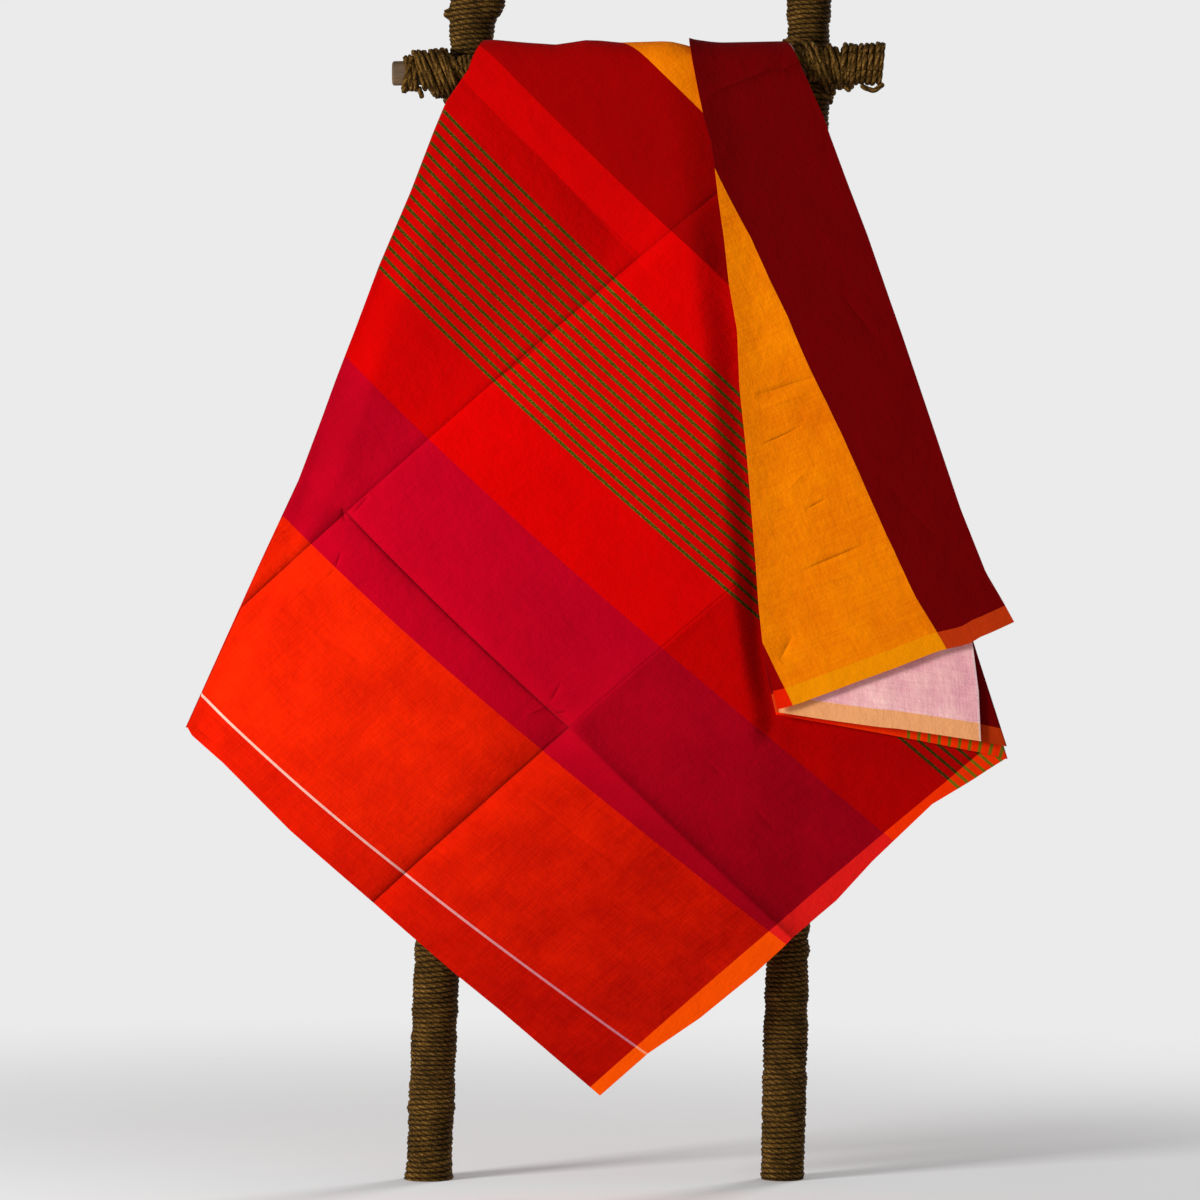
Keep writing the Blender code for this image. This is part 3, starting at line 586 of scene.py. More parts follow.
def mesh_object(name, points, faces, material, layers=()):
    """A shaded smooth object from arrays; layers are (name, values per point) for UV maps."""
    mesh = bpy.data.meshes.new(name)
    mesh.vertices.add(len(points))
    mesh.vertices.foreach_set("co", points.astype(np.float32).ravel())
    mesh.loops.add(faces.size)
    mesh.loops.foreach_set("vertex_index", faces.astype(np.int32).ravel())
    mesh.polygons.add(len(faces))
    mesh.polygons.foreach_set("loop_start", np.arange(len(faces), dtype=np.int32) * faces.shape[1])
    mesh.update(calc_edges=True)
    for layer_name, values in layers:
        uv = mesh.uv_layers.new(name=layer_name)
        each = values if len(values) == faces.size else values[faces.ravel()]
        uv.data.foreach_set("uv", each.astype(np.float32).ravel())
    mesh.validate()
    mesh.shade_smooth()
    mesh.set_sharp_from_angle(angle=math.radians(60))
    mesh.materials.append(material)
    made = bpy.data.objects.new(name, mesh)
    bpy.context.scene.collection.objects.link(made)
    return made


def linear(colour):
    """A colour of 0 to 255 steps as linear values."""
    values = np.array(colour) / 255.0
    low, high = values / 12.92, ((values + 0.055) / 1.055) ** 2.4
    return tuple(float(v) for v in np.where(values <= 0.04045, low, high))


class Value:
    """A value in a shader: sums, products and comparisons of it add math nodes."""

    def __init__(self, nodes, socket):
        self.nodes = nodes
        self.socket = socket

    def __add__(self, other):
        return self.nodes.math("ADD", self, other)

    def __sub__(self, other):
        return self.nodes.math("SUBTRACT", self, other)

    def __rsub__(self, other):
        return self.nodes.math("SUBTRACT", other, self)

    def __mul__(self, other):
        return self.nodes.math("MULTIPLY", self, other)

    def __truediv__(self, other):
        return self.nodes.math("DIVIDE", self, other)

    def __pow__(self, other):
        return self.nodes.math("POWER", self, other)

    def __gt__(self, other):
        return self.nodes.math("GREATER_THAN", self, other)

    def __lt__(self, other):
        return self.nodes.math("LESS_THAN", self, other)

    def __abs__(self):
        return self.nodes.math("ABSOLUTE", self)


class Nodes:
    """Short calls that add shader nodes to one material."""

    def __init__(self, name):
        self.material = bpy.data.materials.new(name)
        self.material.use_nodes = True
        self.tree = self.material.node_tree
        self.shader = self.tree.nodes["Principled BSDF"]

    def add(self, kind, **settings):
        """A new node with some of its settings."""
        node = self.tree.nodes.new(kind)
        for key, value in settings.items():
            setattr(node, key, value)
        return node

    def put(self, socket, value):
        """Links a value to a socket, or sets the socket to a plain number or colour."""
        if isinstance(value, Value):
            self.tree.links.new(value.socket, socket)
        else:
            socket.default_value = value

    def surface(self, **inputs):
        """Sets inputs of the material's shader, named with _ for each space."""
        for name, value in inputs.items():
            self.put(self.shader.inputs[name.replace("_", " ")], value)

    def source(self, kind, output=0, **settings):
        """One output of a new node as a value."""
        return Value(self, self.add(kind, **settings).outputs[output])

    def math(self, operation, *values, clamp=False):
        """A math node."""
        node = self.add("ShaderNodeMath", operation=operation, use_clamp=clamp)
        for socket, value in zip(node.inputs, values):
            self.put(socket, value)
        return Value(self, node.outputs[0])

    def split(self, vector):
        """The first two parts of a vector."""
        node = self.add("ShaderNodeSeparateXYZ")
        self.put(node.inputs[0], vector)
        return Value(self, node.outputs[0]), Value(self, node.outputs[1])

    def combine(self, x, y):
        """A vector of two parts."""
        node = self.add("ShaderNodeCombineXYZ")
        self.put(node.inputs[0], x)
        self.put(node.inputs[1], y)
        return Value(self, node.outputs[0])

    def mix(self, factor, first, second, blend="MIX"):
        """A mix of two colours."""
        node = self.add("ShaderNodeMix", data_type="RGBA", blend_type=blend)
        self.put(node.inputs[0], factor)
        for socket, colour in zip((node.inputs[6], node.inputs[7]), (first, second)):
            self.put(socket, colour if isinstance(colour, Value) else (*colour, 1.0))
        return Value(self, node.outputs[2])

    def ease(self, value, low, high, start, end):
        """Smooth step from start to end while the value goes from low to high."""
        node = self.add("ShaderNodeMapRange", interpolation_type="SMOOTHSTEP")
        for socket, setting in zip(node.inputs, (value, low, high, start, end)):
            self.put(socket, setting)
        return Value(self, node.outputs[0])

    def noise(self, vector, scale, detail=2.0, roughness=0.5):
        """Cloud noise from 0 to 1."""
        node = self.add("ShaderNodeTexNoise")
        self.put(node.inputs["Vector"], vector)
        for name, value in (("Scale", scale), ("Detail", detail), ("Roughness", roughness)):
            self.put(node.inputs[name], value)
        return Value(self, node.outputs[0])

    def ramp(self, factor, stops):
        """A colour by a factor, on straight lines between stops of place and linear colour."""
        node = self.add("ShaderNodeValToRGB")
        ramp = node.color_ramp
        while len(ramp.elements) > 1:
            ramp.elements.remove(ramp.elements[-1])
        for index, (place, colour) in enumerate(stops):
            element = ramp.elements[0] if index == 0 else ramp.elements.new(place)
            element.position = place
            element.color = (*colour, 1.0)
        self.put(node.inputs[0], factor)
        return Value(self, node.outputs[0])

    def bump(self, height, strength=1.0, distance=1.0):
        """A bumped normal from a height in metres."""
        node = self.add("ShaderNodeBump")
        for name, value in (("Strength", strength), ("Distance", distance), ("Height", height)):
            self.put(node.inputs[name], value)
        return Value(self, node.outputs[0])


def woven_bands(nodes, width):
    """By cloth width: colours of the cloth and of its woven end bands, and how uneven its threads are."""
    body, ends, uneven = linear(BANDS[0][1]), linear(BANDS[0][2]), BANDS[0][3]
    for start, colour, end_colour, slub_share in BANDS[1:]:
        past = width > start * MM
        body = nodes.mix(past, body, linear(colour))
        ends = nodes.mix(past, ends, linear(end_colour))
        uneven = (1.0 - past) * uneven + past * slub_share
    return body, ends, uneven


def cloth_material(sizes, creases):
    """Plain weave cotton: bands by cloth width, green stripes, woven end bands, slubs, painted shade at one
    end and near the top, creases and weave.
    """
    nodes = Nodes("sarong cotton")
    place = nodes.source("ShaderNodeUVMap", uv_map="weave")
    length, width = nodes.split(place)
    body, ends, uneven = woven_bands(nodes, width)
    phase = nodes.math("FRACT", (width - STRIPE_START) / STRIPE_PITCH)
    stripe = (width > STRIPE_START) * (width < STRIPE_END) * (phase < STRIPE_WIDTH / STRIPE_PITCH)
    fleck = nodes.noise(nodes.combine(length * FLECK_ALONG, width * FLECK_ACROSS), 1.0)
    green = nodes.mix((fleck > FLECK_LEVEL) * FLECK_SHARE, linear(STRIPE_GREEN), linear(STRIPE_FLECK))
    body = nodes.mix(stripe, body, green)
    ends = nodes.mix(stripe, ends, linear(STRIPE_GREEN_END))
    in_end = nodes.math("MINIMUM", length, CLOTH_LENGTH - length) < sizes.end_band
    colour = nodes.mix(in_end, body, ends)
    frayed = (width > CLOTH_WIDTH - FRAY_WIDTH) * (fleck > FRAY_LEVEL)
    colour = nodes.mix(frayed * FRAY_SHARE, colour, linear(FRAY_COLOUR))
    warp = nodes.noise(nodes.combine(length * THREAD_ALONG, width * THREAD_ACROSS), *THREAD_NOISE)
    weft = nodes.noise(nodes.combine(length * THREAD_ACROSS, width * THREAD_ALONG), *THREAD_NOISE)
    slub = warp * WARP_SHARE + weft * WEFT_SHARE
    cloud = nodes.noise(place, *CLOUD_NOISE)
    # Painted shade: the colour darkens towards the cloth's first end and past the top lengths, on the bands
    # below the given widths
    low_shade = nodes.ease(length, 0.0, LOW_SHADE_LENGTH, sizes.painted_shade, 0.0)
    top = nodes.ease(length, *TOP_SHADE_LENGTHS, 0.0, sizes.painted_shade / 2)
    deep = low_shade * (width < LOW_SHADE_WIDTH) * (1.0 - in_end) + top * (width < TOP_SHADE_WIDTH)
    tone = (slub - 0.5) * (sizes.slub * SLUB_GAIN) + (cloud - 0.5) * (sizes.cloud * CLOUD_GAIN)
    tone = nodes.math("MAXIMUM", tone * (uneven * (1.0 - in_end * END_CALM)) + 1.0 - deep, 0.0)
    shade = nodes.add("ShaderNodeCombineColor")
    for socket, power in zip(shade.inputs, SHADE_POWERS):
        nodes.put(socket, tone ** power)
    colour = nodes.mix(1.0, colour, Value(nodes, shade.outputs[0]), "MULTIPLY")
    threads = nodes.math("SINE", length * (2 * math.pi / WEAVE_PITCH)) * nodes.math(
        "SINE", width * (2 * math.pi / WEAVE_PITCH))
    relief = threads * WEAVE_BUMP + slub * SLUB_BUMP + cloud * CLOUD_BUMP
    relief = relief + storage_creases(nodes, length, width)
    for crease in creases:
        relief = relief + short_crease(nodes, place, *crease)
    nodes.surface(Base_Color=colour, Roughness=0.95, Specular_IOR_Level=0.03, Sheen_Weight=0.012,
                  Sheen_Roughness=0.5, Normal=nodes.bump(relief))
    return nodes.material


def fold_line(nodes, distance, height, reach):
    """Height of a crease at a distance from its line: a falling exponential."""
    return nodes.math("EXPONENT", abs(distance) * (-1.0 / reach)) * height


def storage_creases(nodes, length, width):
    """The sharp middle of the storage creases of the front panel, ridge or valley as in its relief."""
    start, middle, end = LONG_CREASE_WIDTHS
    past_first = nodes.math("MAXIMUM", length - CREASE_PITCH, 0.0)
    line = nodes.math("MINIMUM", length, CREASE_PITCH) * ((middle - start) / CREASE_PITCH)
    line = line + past_first * ((end - middle) / CREASE_PITCH) + start
    off = width - line
    above, near = off > 0.0, length > CREASE_PITCH
    before_second = length < 2 * CREASE_PITCH
    total = fold_line(nodes, length - CREASE_PITCH, GROOVE_BUMP, GROOVE_REACH)
    total = total + fold_line(nodes, off, LONG_GROOVE_BUMP, GROOVE_REACH) * before_second
    for distance, side, (height, added, reach), part in (
            (length - CREASE_PITCH, above, FIRST_BUMP, 1.0),
            (length - 2 * CREASE_PITCH, above, SECOND_BUMP, 1.0),
            (off, near, LONG_BUMP, before_second)):
        total = total + fold_line(nodes, distance, side * added + height, reach) * part
    front = width < CREASED_WIDTH
    upper = fold_line(nodes, width - UPPER_CREASE_WIDTH, UPPER_BUMP, UPPER_BUMP_REACH)
    return (total * (length < CREASED_LENGTH) + upper * (length > 2 * CREASE_PITCH)) * front


def short_crease(nodes, place, start, end, height, reach):
    """A small crease between two places of the cloth, full in its middle and gone at its ends."""
    line = np.array(end) - np.array(start)
    size = float(np.linalg.norm(line))
    line = line / size
    offset = nodes.add("ShaderNodeVectorMath", operation="SUBTRACT")
    nodes.put(offset.inputs[0], place)
    offset.inputs[1].default_value = (float(start[0]), float(start[1]), 0.0)
    values = []
    for direction in ((line[0], line[1]), (-line[1], line[0])):
        dot = nodes.add("ShaderNodeVectorMath", operation="DOT_PRODUCT")
        nodes.put(dot.inputs[0], Value(nodes, offset.outputs[0]))
        dot.inputs[1].default_value = (float(direction[0]), float(direction[1]), 0.0)
        values.append(Value(nodes, dot.outputs["Value"]))
    share = values[0] / size
    window = nodes.math("MULTIPLY", share * (1.0 - share), 4.0, clamp=True)
    return fold_line(nodes, values[1], height, reach) * window


def weave_at(points, uv, x, z):
    """Cloth length and width at a place of the front: a flat fit over its dozen nearest points."""
    gap = np.hypot(points[:, 0] - x, points[:, 2] - z)
    near = np.argsort(gap + np.where(points[:, 1] > RUNG_Y, 1.0, 0.0))[:60]
    front = near[points[near, 1] < points[near[:24], 1].min() + 0.9 * LAYER_PITCH][:12]
    base = np.column_stack([points[front, 0] - x, points[front, 2] - z, np.ones(len(front))])
    return np.linalg.lstsq(base, uv[front], rcond=None)[0][2]


def small_creases(points, uv):
    """Each small crease as its two ends on the cloth, its height and its reach."""
    return [(weave_at(points, uv, x0 * MM, z0 * MM), weave_at(points, uv, x1 * MM, z1 * MM),
             height * MM, reach * MM) for x0, z0, x1, z1, height, reach in SMALL_CREASES]


def rope_material():
    """Coir rope: brown fibres, painted shade in the line between turns, with the slanting strands that its
    own map gives, painted darker between them and lighter on their crowns.
    """
    nodes = Nodes("coir rope")
    lay, turn = nodes.split(nodes.source("ShaderNodeUVMap", uv_map="turns"))
    coordinates = nodes.source("ShaderNodeTexCoord", "Object")
    patch = nodes.noise(coordinates, *PATCH_NOISE)
    fibre = nodes.noise(coordinates, *FIBRE_NOISE)
    # Painted shade: the tone is darker between strands and in the line between turns, and lighter on the
    # strands' crowns
    strands = abs(nodes.math("SINE", (lay + patch * LAY_WANDER) * math.pi))
    groove_and_shade = abs(nodes.math("SINE", (turn + (fibre - 0.5) * TURN_WANDER) * math.pi)) ** GROOVE_SHADE_POWER
    level = (strands * STRAND_SHADE + BASE_TONE) * groove_and_shade
    level = level + (fibre - 0.5) * FIBRE_TONE + (patch - 0.5) * PATCH_TONE
    colour = nodes.ramp(level, [(place, linear(tone)) for place, tone in ROPE_TONES])
    relief = strands * groove_and_shade * STRAND_BUMP + fibre * FIBRE_BUMP
    nodes.surface(Base_Color=colour, Roughness=0.9, Specular_IOR_Level=0.10, Normal=nodes.bump(relief))
    return nodes.material


def wood_material():
    """Bare weathered wood: long grey-brown grain along the bar."""
    nodes = Nodes("bare rung wood")
    mapping = nodes.add("ShaderNodeMapping")
    mapping.inputs["Scale"].default_value = WOOD_GRAIN
    nodes.put(mapping.inputs["Vector"], nodes.source("ShaderNodeTexCoord", "Object"))
    grain = nodes.noise(Value(nodes, mapping.outputs[0]), 1.0, 5.0, 0.6)
    colour = nodes.ramp(grain, [(place, linear(tone)) for place, tone in WOOD_TONES])
    nodes.surface(Base_Color=colour, Roughness=0.75, Normal=nodes.bump(grain, 0.4, 0.0005))
    return nodes.material


def pole_mesh(name, foot_top, radii, knots, pitch, seed, material):
    """A pole wound with rope: rings round its leaning axis whose radius swells over each turn by a
    half-round profile, the turns climbing by one pitch each time round, with a rounded swelling at each
    knot."""
    z = np.linspace(0, RACK_TOP, POLE_ROWS)[:, None]
    angle = np.linspace(0, 2 * math.pi, POLE_COLUMNS, endpoint=False)[None, :]
    centre = (foot_top[0] + (foot_top[1] - foot_top[0]) * z / RACK_TOP) * MM
    rng = np.random.default_rng(seed)
    marks = np.linspace(0, RACK_TOP, POLE_MARKS)
    wobble = np.interp(z[:, 0], marks, rng.normal(0, POLE_UNEVEN, POLE_MARKS))[:, None]
    turn = z / pitch - angle / (2 * math.pi) + 0.35 * np.sin(z * 31 + seed)
    turn = turn + 0.16 * np.sin(angle + z * 47 + seed)
    turn = turn + 0.10 * np.sin(angle * 3 + z * 260 + seed) * np.sin(z * 91)
    profile = np.sqrt(np.maximum(1 - (2 * (turn % 1.0) - 1) ** 2, 0.0))
    turns = 1 + int(RACK_TOP / pitch) + 4
    size = np.interp(turn, np.arange(-3, turns), rng.normal(0, TURN_UNEVEN, turns + 3))
    lumps = rng.normal(0, 1.0, (POLE_ROWS, POLE_COLUMNS))
    lumps = (lumps + np.roll(lumps, 1, axis=0) + np.roll(lumps, 1, axis=1) + np.roll(lumps, -1, axis=1)) / 2
    base = along(radii, z[:, 0] / MM)[:, None]
    radius = base - TURN_SEAT + TURN_DEPTH * profile + wobble + size + TURN_LUMPS * lumps
    for knot_z, knot_angle, knot_size, knot_height, knot_spread in knots:
        turned = np.abs((angle - knot_angle + math.pi) % (2 * math.pi) - math.pi)
        radius = radius + knot_size * np.exp(-((z - knot_z) / knot_height) ** 4 - (turned / knot_spread) ** 2)
    ends = np.minimum(z, RACK_TOP - z) / END_ROUND
    radius = radius - END_CUT * np.clip(1 - ends, 0, 1)
    x, y = centre + radius * np.cos(angle), pole_y(z) + radius * np.sin(angle)
    points = np.stack([x, y, z + 0 * angle], axis=-1)
    turn = np.concatenate([turn, turn[:, :1] - 1.0], axis=1)
    round_again = np.append(angle, 2 * math.pi)[None, :]
    lay = POLE_STRANDS * round_again / (2 * math.pi) + STRAND_LEAN * (turn % 1.0)
    lay = lay + STRAND_SHIFT * np.sin(np.floor(turn) * SHIFT_WAVE)
    return ring_solid(name, points, np.stack([lay, turn], axis=-1), material)


def ring_solid(name, points, uv, material):
    """A closed solid from rings of points, with its two ends closed by fans round their middles. The map has
    one column more than the rings, so that it runs on to where each ring closes."""
    rows, columns = points.shape[:2]
    c, r = np.meshgrid(np.arange(columns), np.arange(rows - 1), indexing="ij")
    corner, beside = (r * columns + c).ravel(), (r * columns + (c + 1) % columns).ravel()
    sides = np.stack([corner, beside, beside + columns, corner + columns], axis=1)
    side_uv = np.stack([uv[r, c], uv[r, c + 1], uv[r + 1, c + 1], uv[r + 1, c]], axis=2).reshape(-1, 2)
    middles = np.stack([points[0].mean(axis=0), points[-1].mean(axis=0)])
    low, high = rows * columns, rows * columns + 1
    ring = np.arange(0, columns, 2)
    after, last = (ring + 2) % columns, (rows - 1) * columns
    low_cap = np.stack([np.full(len(ring), low), after, (ring + 1) % columns, ring], axis=1)
    high_cap = [np.full(len(ring), high), last + ring, last + (ring + 1) % columns, last + after]
    high_cap = np.stack(high_cap, axis=1)
    cap_uv = np.tile(np.array([[0.4, 0.5], [0.4, 0.3], [0.6, 0.3], [0.6, 0.5]]), (len(ring) * 2, 1))
    points = np.concatenate([points.reshape(-1, 3), middles])
    faces = np.concatenate([sides, low_cap, high_cap])
    return mesh_object(name, points, faces, material, (("turns", np.concatenate([side_uv, cap_uv])),))


def tube_points(path, radius, sides):
    """Rings of a tube along a path: circles in planes square to the path's direction."""
    direction = np.gradient(path, axis=0)
    direction /= np.linalg.norm(direction, axis=1, keepdims=True)
    steep = np.abs(direction[:, 2:3]) >= 0.9
    guide = np.where(steep, np.array([[1.0, 0.0, 0.0]]), np.array([[0.0, 0.0, 1.0]]))
    across = np.cross(direction, guide)
    across /= np.linalg.norm(across, axis=1, keepdims=True)
    up = np.cross(direction, across)
    angle = np.linspace(0, 2 * math.pi, sides, endpoint=False)[None, :, None]
    ring = across[:, None, :] * np.cos(angle) + up[:, None, :] * np.sin(angle)
    size = np.broadcast_to(np.asarray(radius, dtype=float), (len(path),))
    return path[:, None, :] + ring * size[:, None, None]


def rope_piece(name, paths, radius, material, sides=14):
    """One object from several rope paths, each a tube closed at its ends, with three slanting strands."""
    objects = []
    for index, path in enumerate(paths):
        step = np.linalg.norm(np.diff(path, axis=0), axis=1)
        run = np.concatenate([[0.0], np.cumsum(step)])
        count = max(int(run[-1] / 0.0009), 12)
        places = np.linspace(0, run[-1], count)
        even = np.stack([np.interp(places, run, path[:, i]) for i in range(3)], axis=1)
        run = places
        ends = np.clip(np.minimum(run, run[-1] - run) / 0.0015, 0, 1)
        rings = tube_points(even, radius * (0.55 + 0.45 * np.sqrt(ends)), sides)
        angle = np.linspace(0, 2 * math.pi, sides, endpoint=False)[None, :]
        strand = -np.cos(3 * angle - run[:, None] / STRAND_LAY)
        middle = even[:, None, :]
        rings = middle + (rings - middle) * (1 + 0.13 * strand[:, :, None])
        angle = np.linspace(0, 2 * math.pi, sides + 1)[None, :]
        lay = 3 * angle / (2 * math.pi) - run[:, None] / (2 * math.pi * STRAND_LAY)
        uv = np.stack([lay, 0.5 + 0 * lay], axis=-1)
        objects.append(ring_solid(f"{name}_{index}", rings, uv, material))
    return join(name, objects)


def join(name, objects):
    """Joins objects into the first one and names it."""
    for other in bpy.context.selected_objects:
        other.select_set(False)
    for made in objects:
        made.select_set(True)
    bpy.context.view_layer.objects.active = objects[0]
    if len(objects) > 1:
        bpy.ops.object.join()
    objects[0].name = name
    objects[0].data.name = name
    return objects[0]


def rung_coil(x_from, x_to, radius_from, radius_to, rope, tilt=0.0, phase=0.0, wobble=0.0003, seed=1):
    """A helix round the rung: about one rope thickness of travel for each turn, its radius eased between
    two. Tilt leans each turn, so that it runs to the right as it goes down the front."""
    turns = max(abs(x_to - x_from) / (rope * 0.98), 1.0)
    share = np.linspace(0, 1, int(turns * 40) + 20)
    angle = phase + 2 * math.pi * turns * share
    rng = np.random.default_rng(seed)
    marks = np.linspace(0, 1, max(int(turns * 5), 6))
    radius = radius_from + (radius_to - radius_from) * share
    radius = radius + np.interp(share, marks, rng.normal(0, wobble, len(marks)))
    x = x_from + (x_to - x_from) * share + np.interp(share, marks, rng.normal(0, wobble, len(marks)))
    height = rung_height(x) + radius * np.sin(angle)
    return np.stack([x - tilt * radius * np.sin(angle), RUNG_Y + radius * np.cos(angle), height], axis=1)


def pole_coil(foot_top, z_from, z_to, radius, rope, tilt=0.0, seed=1, wobble=0.0003):
    """A helix round a pole; tilt leans each turn, so that it climbs to the right across the front."""
    turns = max(abs(z_to - z_from) / (rope * 0.98), 1.0)
    share = np.linspace(0, 1, int(turns * 48))
    angle = 2 * math.pi * turns * share
    rng = np.random.default_rng(seed)
    marks = np.linspace(0, 1, max(int(turns * 5), 6))
    size = radius + np.interp(share, marks, rng.normal(0, wobble, len(marks)))
    z = z_from + (z_to - z_from) * share + tilt * size * np.cos(angle)
    centre = (foot_top[0] + (foot_top[1] - foot_top[0]) * z / RACK_TOP) * MM
    return np.stack([centre + size * np.cos(angle), pole_y(z) + size * np.sin(angle), z], axis=1)


def crossing_loop(x, lean, across, out, seed):
    """A loop of lashing round pole and rung where they cross: an ellipse in a plane that stands front to
    back and leans by an angle from the level, half as deep as pole and rung together."""
    rng = np.random.default_rng(seed)
    angle = np.linspace(0, 2 * math.pi, 90)
    deep = (RUNG_BACK_FROM_POLE + RUNG_RADIUS + POLE_HALF) / 2 + out
    middle = RUNG_Y - RUNG_RADIUS + deep - out
    side = across * np.sin(angle) * (1 - 0.10 * np.cos(angle))
    shift = np.interp(angle, np.linspace(0, 2 * math.pi, 9), rng.normal(0, 0.0004, 9))
    height = rung_height(x) + side * math.sin(lean) + shift
    return np.stack([x + side * math.cos(lean) + shift, middle - deep * np.cos(angle), height], axis=1)


def tail(x, y, z, points):
    """A loose rope end: a softened line through points given in mm from its start."""
    rows = np.array((x, y, z)) + np.array([(0.0, 0.0, 0.0), *points]) * MM
    share = np.linspace(0, 1, len(rows))
    fine = np.linspace(0, 1, 30)
    line = np.stack([np.interp(fine, share, rows[:, i]) for i in range(3)], axis=1)
    for _ in range(8):
        line[1:-1] = (line[:-2] + 2 * line[1:-1] + line[2:]) / 4
    return line


class SarongSizes(bpy.types.PropertyGroup):
    """Sizes and tones of the cloth."""

    thickness: bpy.props.FloatProperty(name="Thickness", description="Thickness of the cloth sheet",
                                       default=CLOTH_THICKNESS, unit="LENGTH")
    end_band: bpy.props.FloatProperty(name="End band", description="Width of the band woven along a cut end",
                                      default=END_BAND, unit="LENGTH")
    slub: bpy.props.FloatProperty(name="Slub", description="Strength of the uneven threads in the colour",
                                  default=0.34, subtype="FACTOR")
    # Painted shade: how much darker the colour is made at one end of the cloth and, by half, near the top
    painted_shade: bpy.props.FloatProperty(name="End tone", description="How much deeper the dye is at one end",
                                      default=0.42, subtype="FACTOR")
    cloud: bpy.props.FloatProperty(name="Mottle", description="Strength of the soft patches in the colour",
                                   default=0.55, subtype="FACTOR")


class RopeSizes(bpy.types.PropertyGroup):
    """Sizes of the rope."""

    pitch: bpy.props.FloatProperty(name="Turn height", description="Height of one turn of rope on the poles",
                                   default=0.0042, unit="LENGTH")
    lashing: bpy.props.FloatProperty(name="Lashing rope", description="Thickness of the tying rope",
                                     default=0.0046, unit="LENGTH")


class StageSizes(bpy.types.PropertyGroup):
    """Camera and light."""

    distance: bpy.props.FloatProperty(name="Camera distance", description="From the camera to the cloth",
                                      default=4.0, unit="LENGTH")
    key: bpy.props.FloatProperty(name="Key light", description="Power of the main light in watts",
                                 default=48.0, subtype="POWER")
    back: bpy.props.FloatProperty(name="Back light", description="Power of the light behind in watts",
                                  default=40.0, subtype="POWER")
    paper: bpy.props.FloatProperty(name="Background", description="Brightness of the plain background",
                                   default=0.83, subtype="FACTOR")
    ambient: bpy.props.FloatProperty(name="Ambient light", description="Strength of the light from all round",
                                     default=0.28, subtype="FACTOR")


class SARONG_OT_cloth(bpy.types.Operator):
    """Makes the sarong: folded layers over the rung, with the front flap."""

    bl_idname = "sarong.cloth"
    bl_label = "Make sarong"

    def execute(self, context):
        sizes = context.scene.sarong_sizes
        points, uv, quads = cloth_points()
        cotton = cloth_material(sizes, small_creases(points, uv))
        points, faces = shell(points, quads, sizes.thickness)
        made = mesh_object("sarong_cloth", points, faces, cotton, (("weave", np.concatenate([uv, uv])),))
        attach(made, "root")
        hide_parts("sarong")
        return {"FINISHED"}


class SARONG_OT_poles(bpy.types.Operator):
    """Makes the two rope-wound poles."""

    bl_idname = "sarong.poles"
    bl_label = "Make poles"

    def execute(self, context):
        pitch = context.scene.rope_sizes.pitch
        rope = rope_material()
        for name, node, foot_top, radii, knots, seed in (
                ("pole_left", "upright_left", POLE_LEFT_X, POLE_LEFT_RADII, POLE_LEFT_KNOTS, 3),
                ("pole_right", "upright_right", POLE_RIGHT_X, POLE_RIGHT_RADII, (), 8)):
            made = pole_mesh(name, foot_top, radii, knots, pitch, seed, rope)
            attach(made, "root")
            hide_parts(node)
        return {"FINISHED"}


class SARONG_OT_rung(bpy.types.Operator):
    """Makes the wooden rung and the rope wound on it under the cloth."""

    bl_idname = "sarong.rung"
    bl_label = "Make rung"

    def execute(self, context):
        rows, sizes = (np.array(column)[:, None] for column in zip(*RUNG_PROFILE))
        angle = np.linspace(0, 2 * math.pi, 64, endpoint=False)[None, :]
        x = RUNG_LEFT_X + rows + 0 * angle
        y, z = RUNG_Y + sizes * np.cos(angle), rung_height(x) + sizes * np.sin(angle)
        uv = np.stack(np.broadcast_arrays(rows, np.linspace(0, 1, 65)[None, :]), axis=-1)
        made = ring_solid("rung_bar", np.stack([x, y, z], axis=-1), uv, wood_material())
        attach(made, "root")
        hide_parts("rung")
        rope = context.scene.rope_sizes.lashing
        middle = RUNG_RADIUS + rope / 2
        coil = rung_coil(*RUNG_WRAP_X, middle, middle, rope, seed=17)
        made = rope_piece("rung_wrap_rope", [coil], rope * 0.46, rope_material(), 8)
        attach(made, "root")
        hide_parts("rung_wrap")
        return {"FINISHED"}


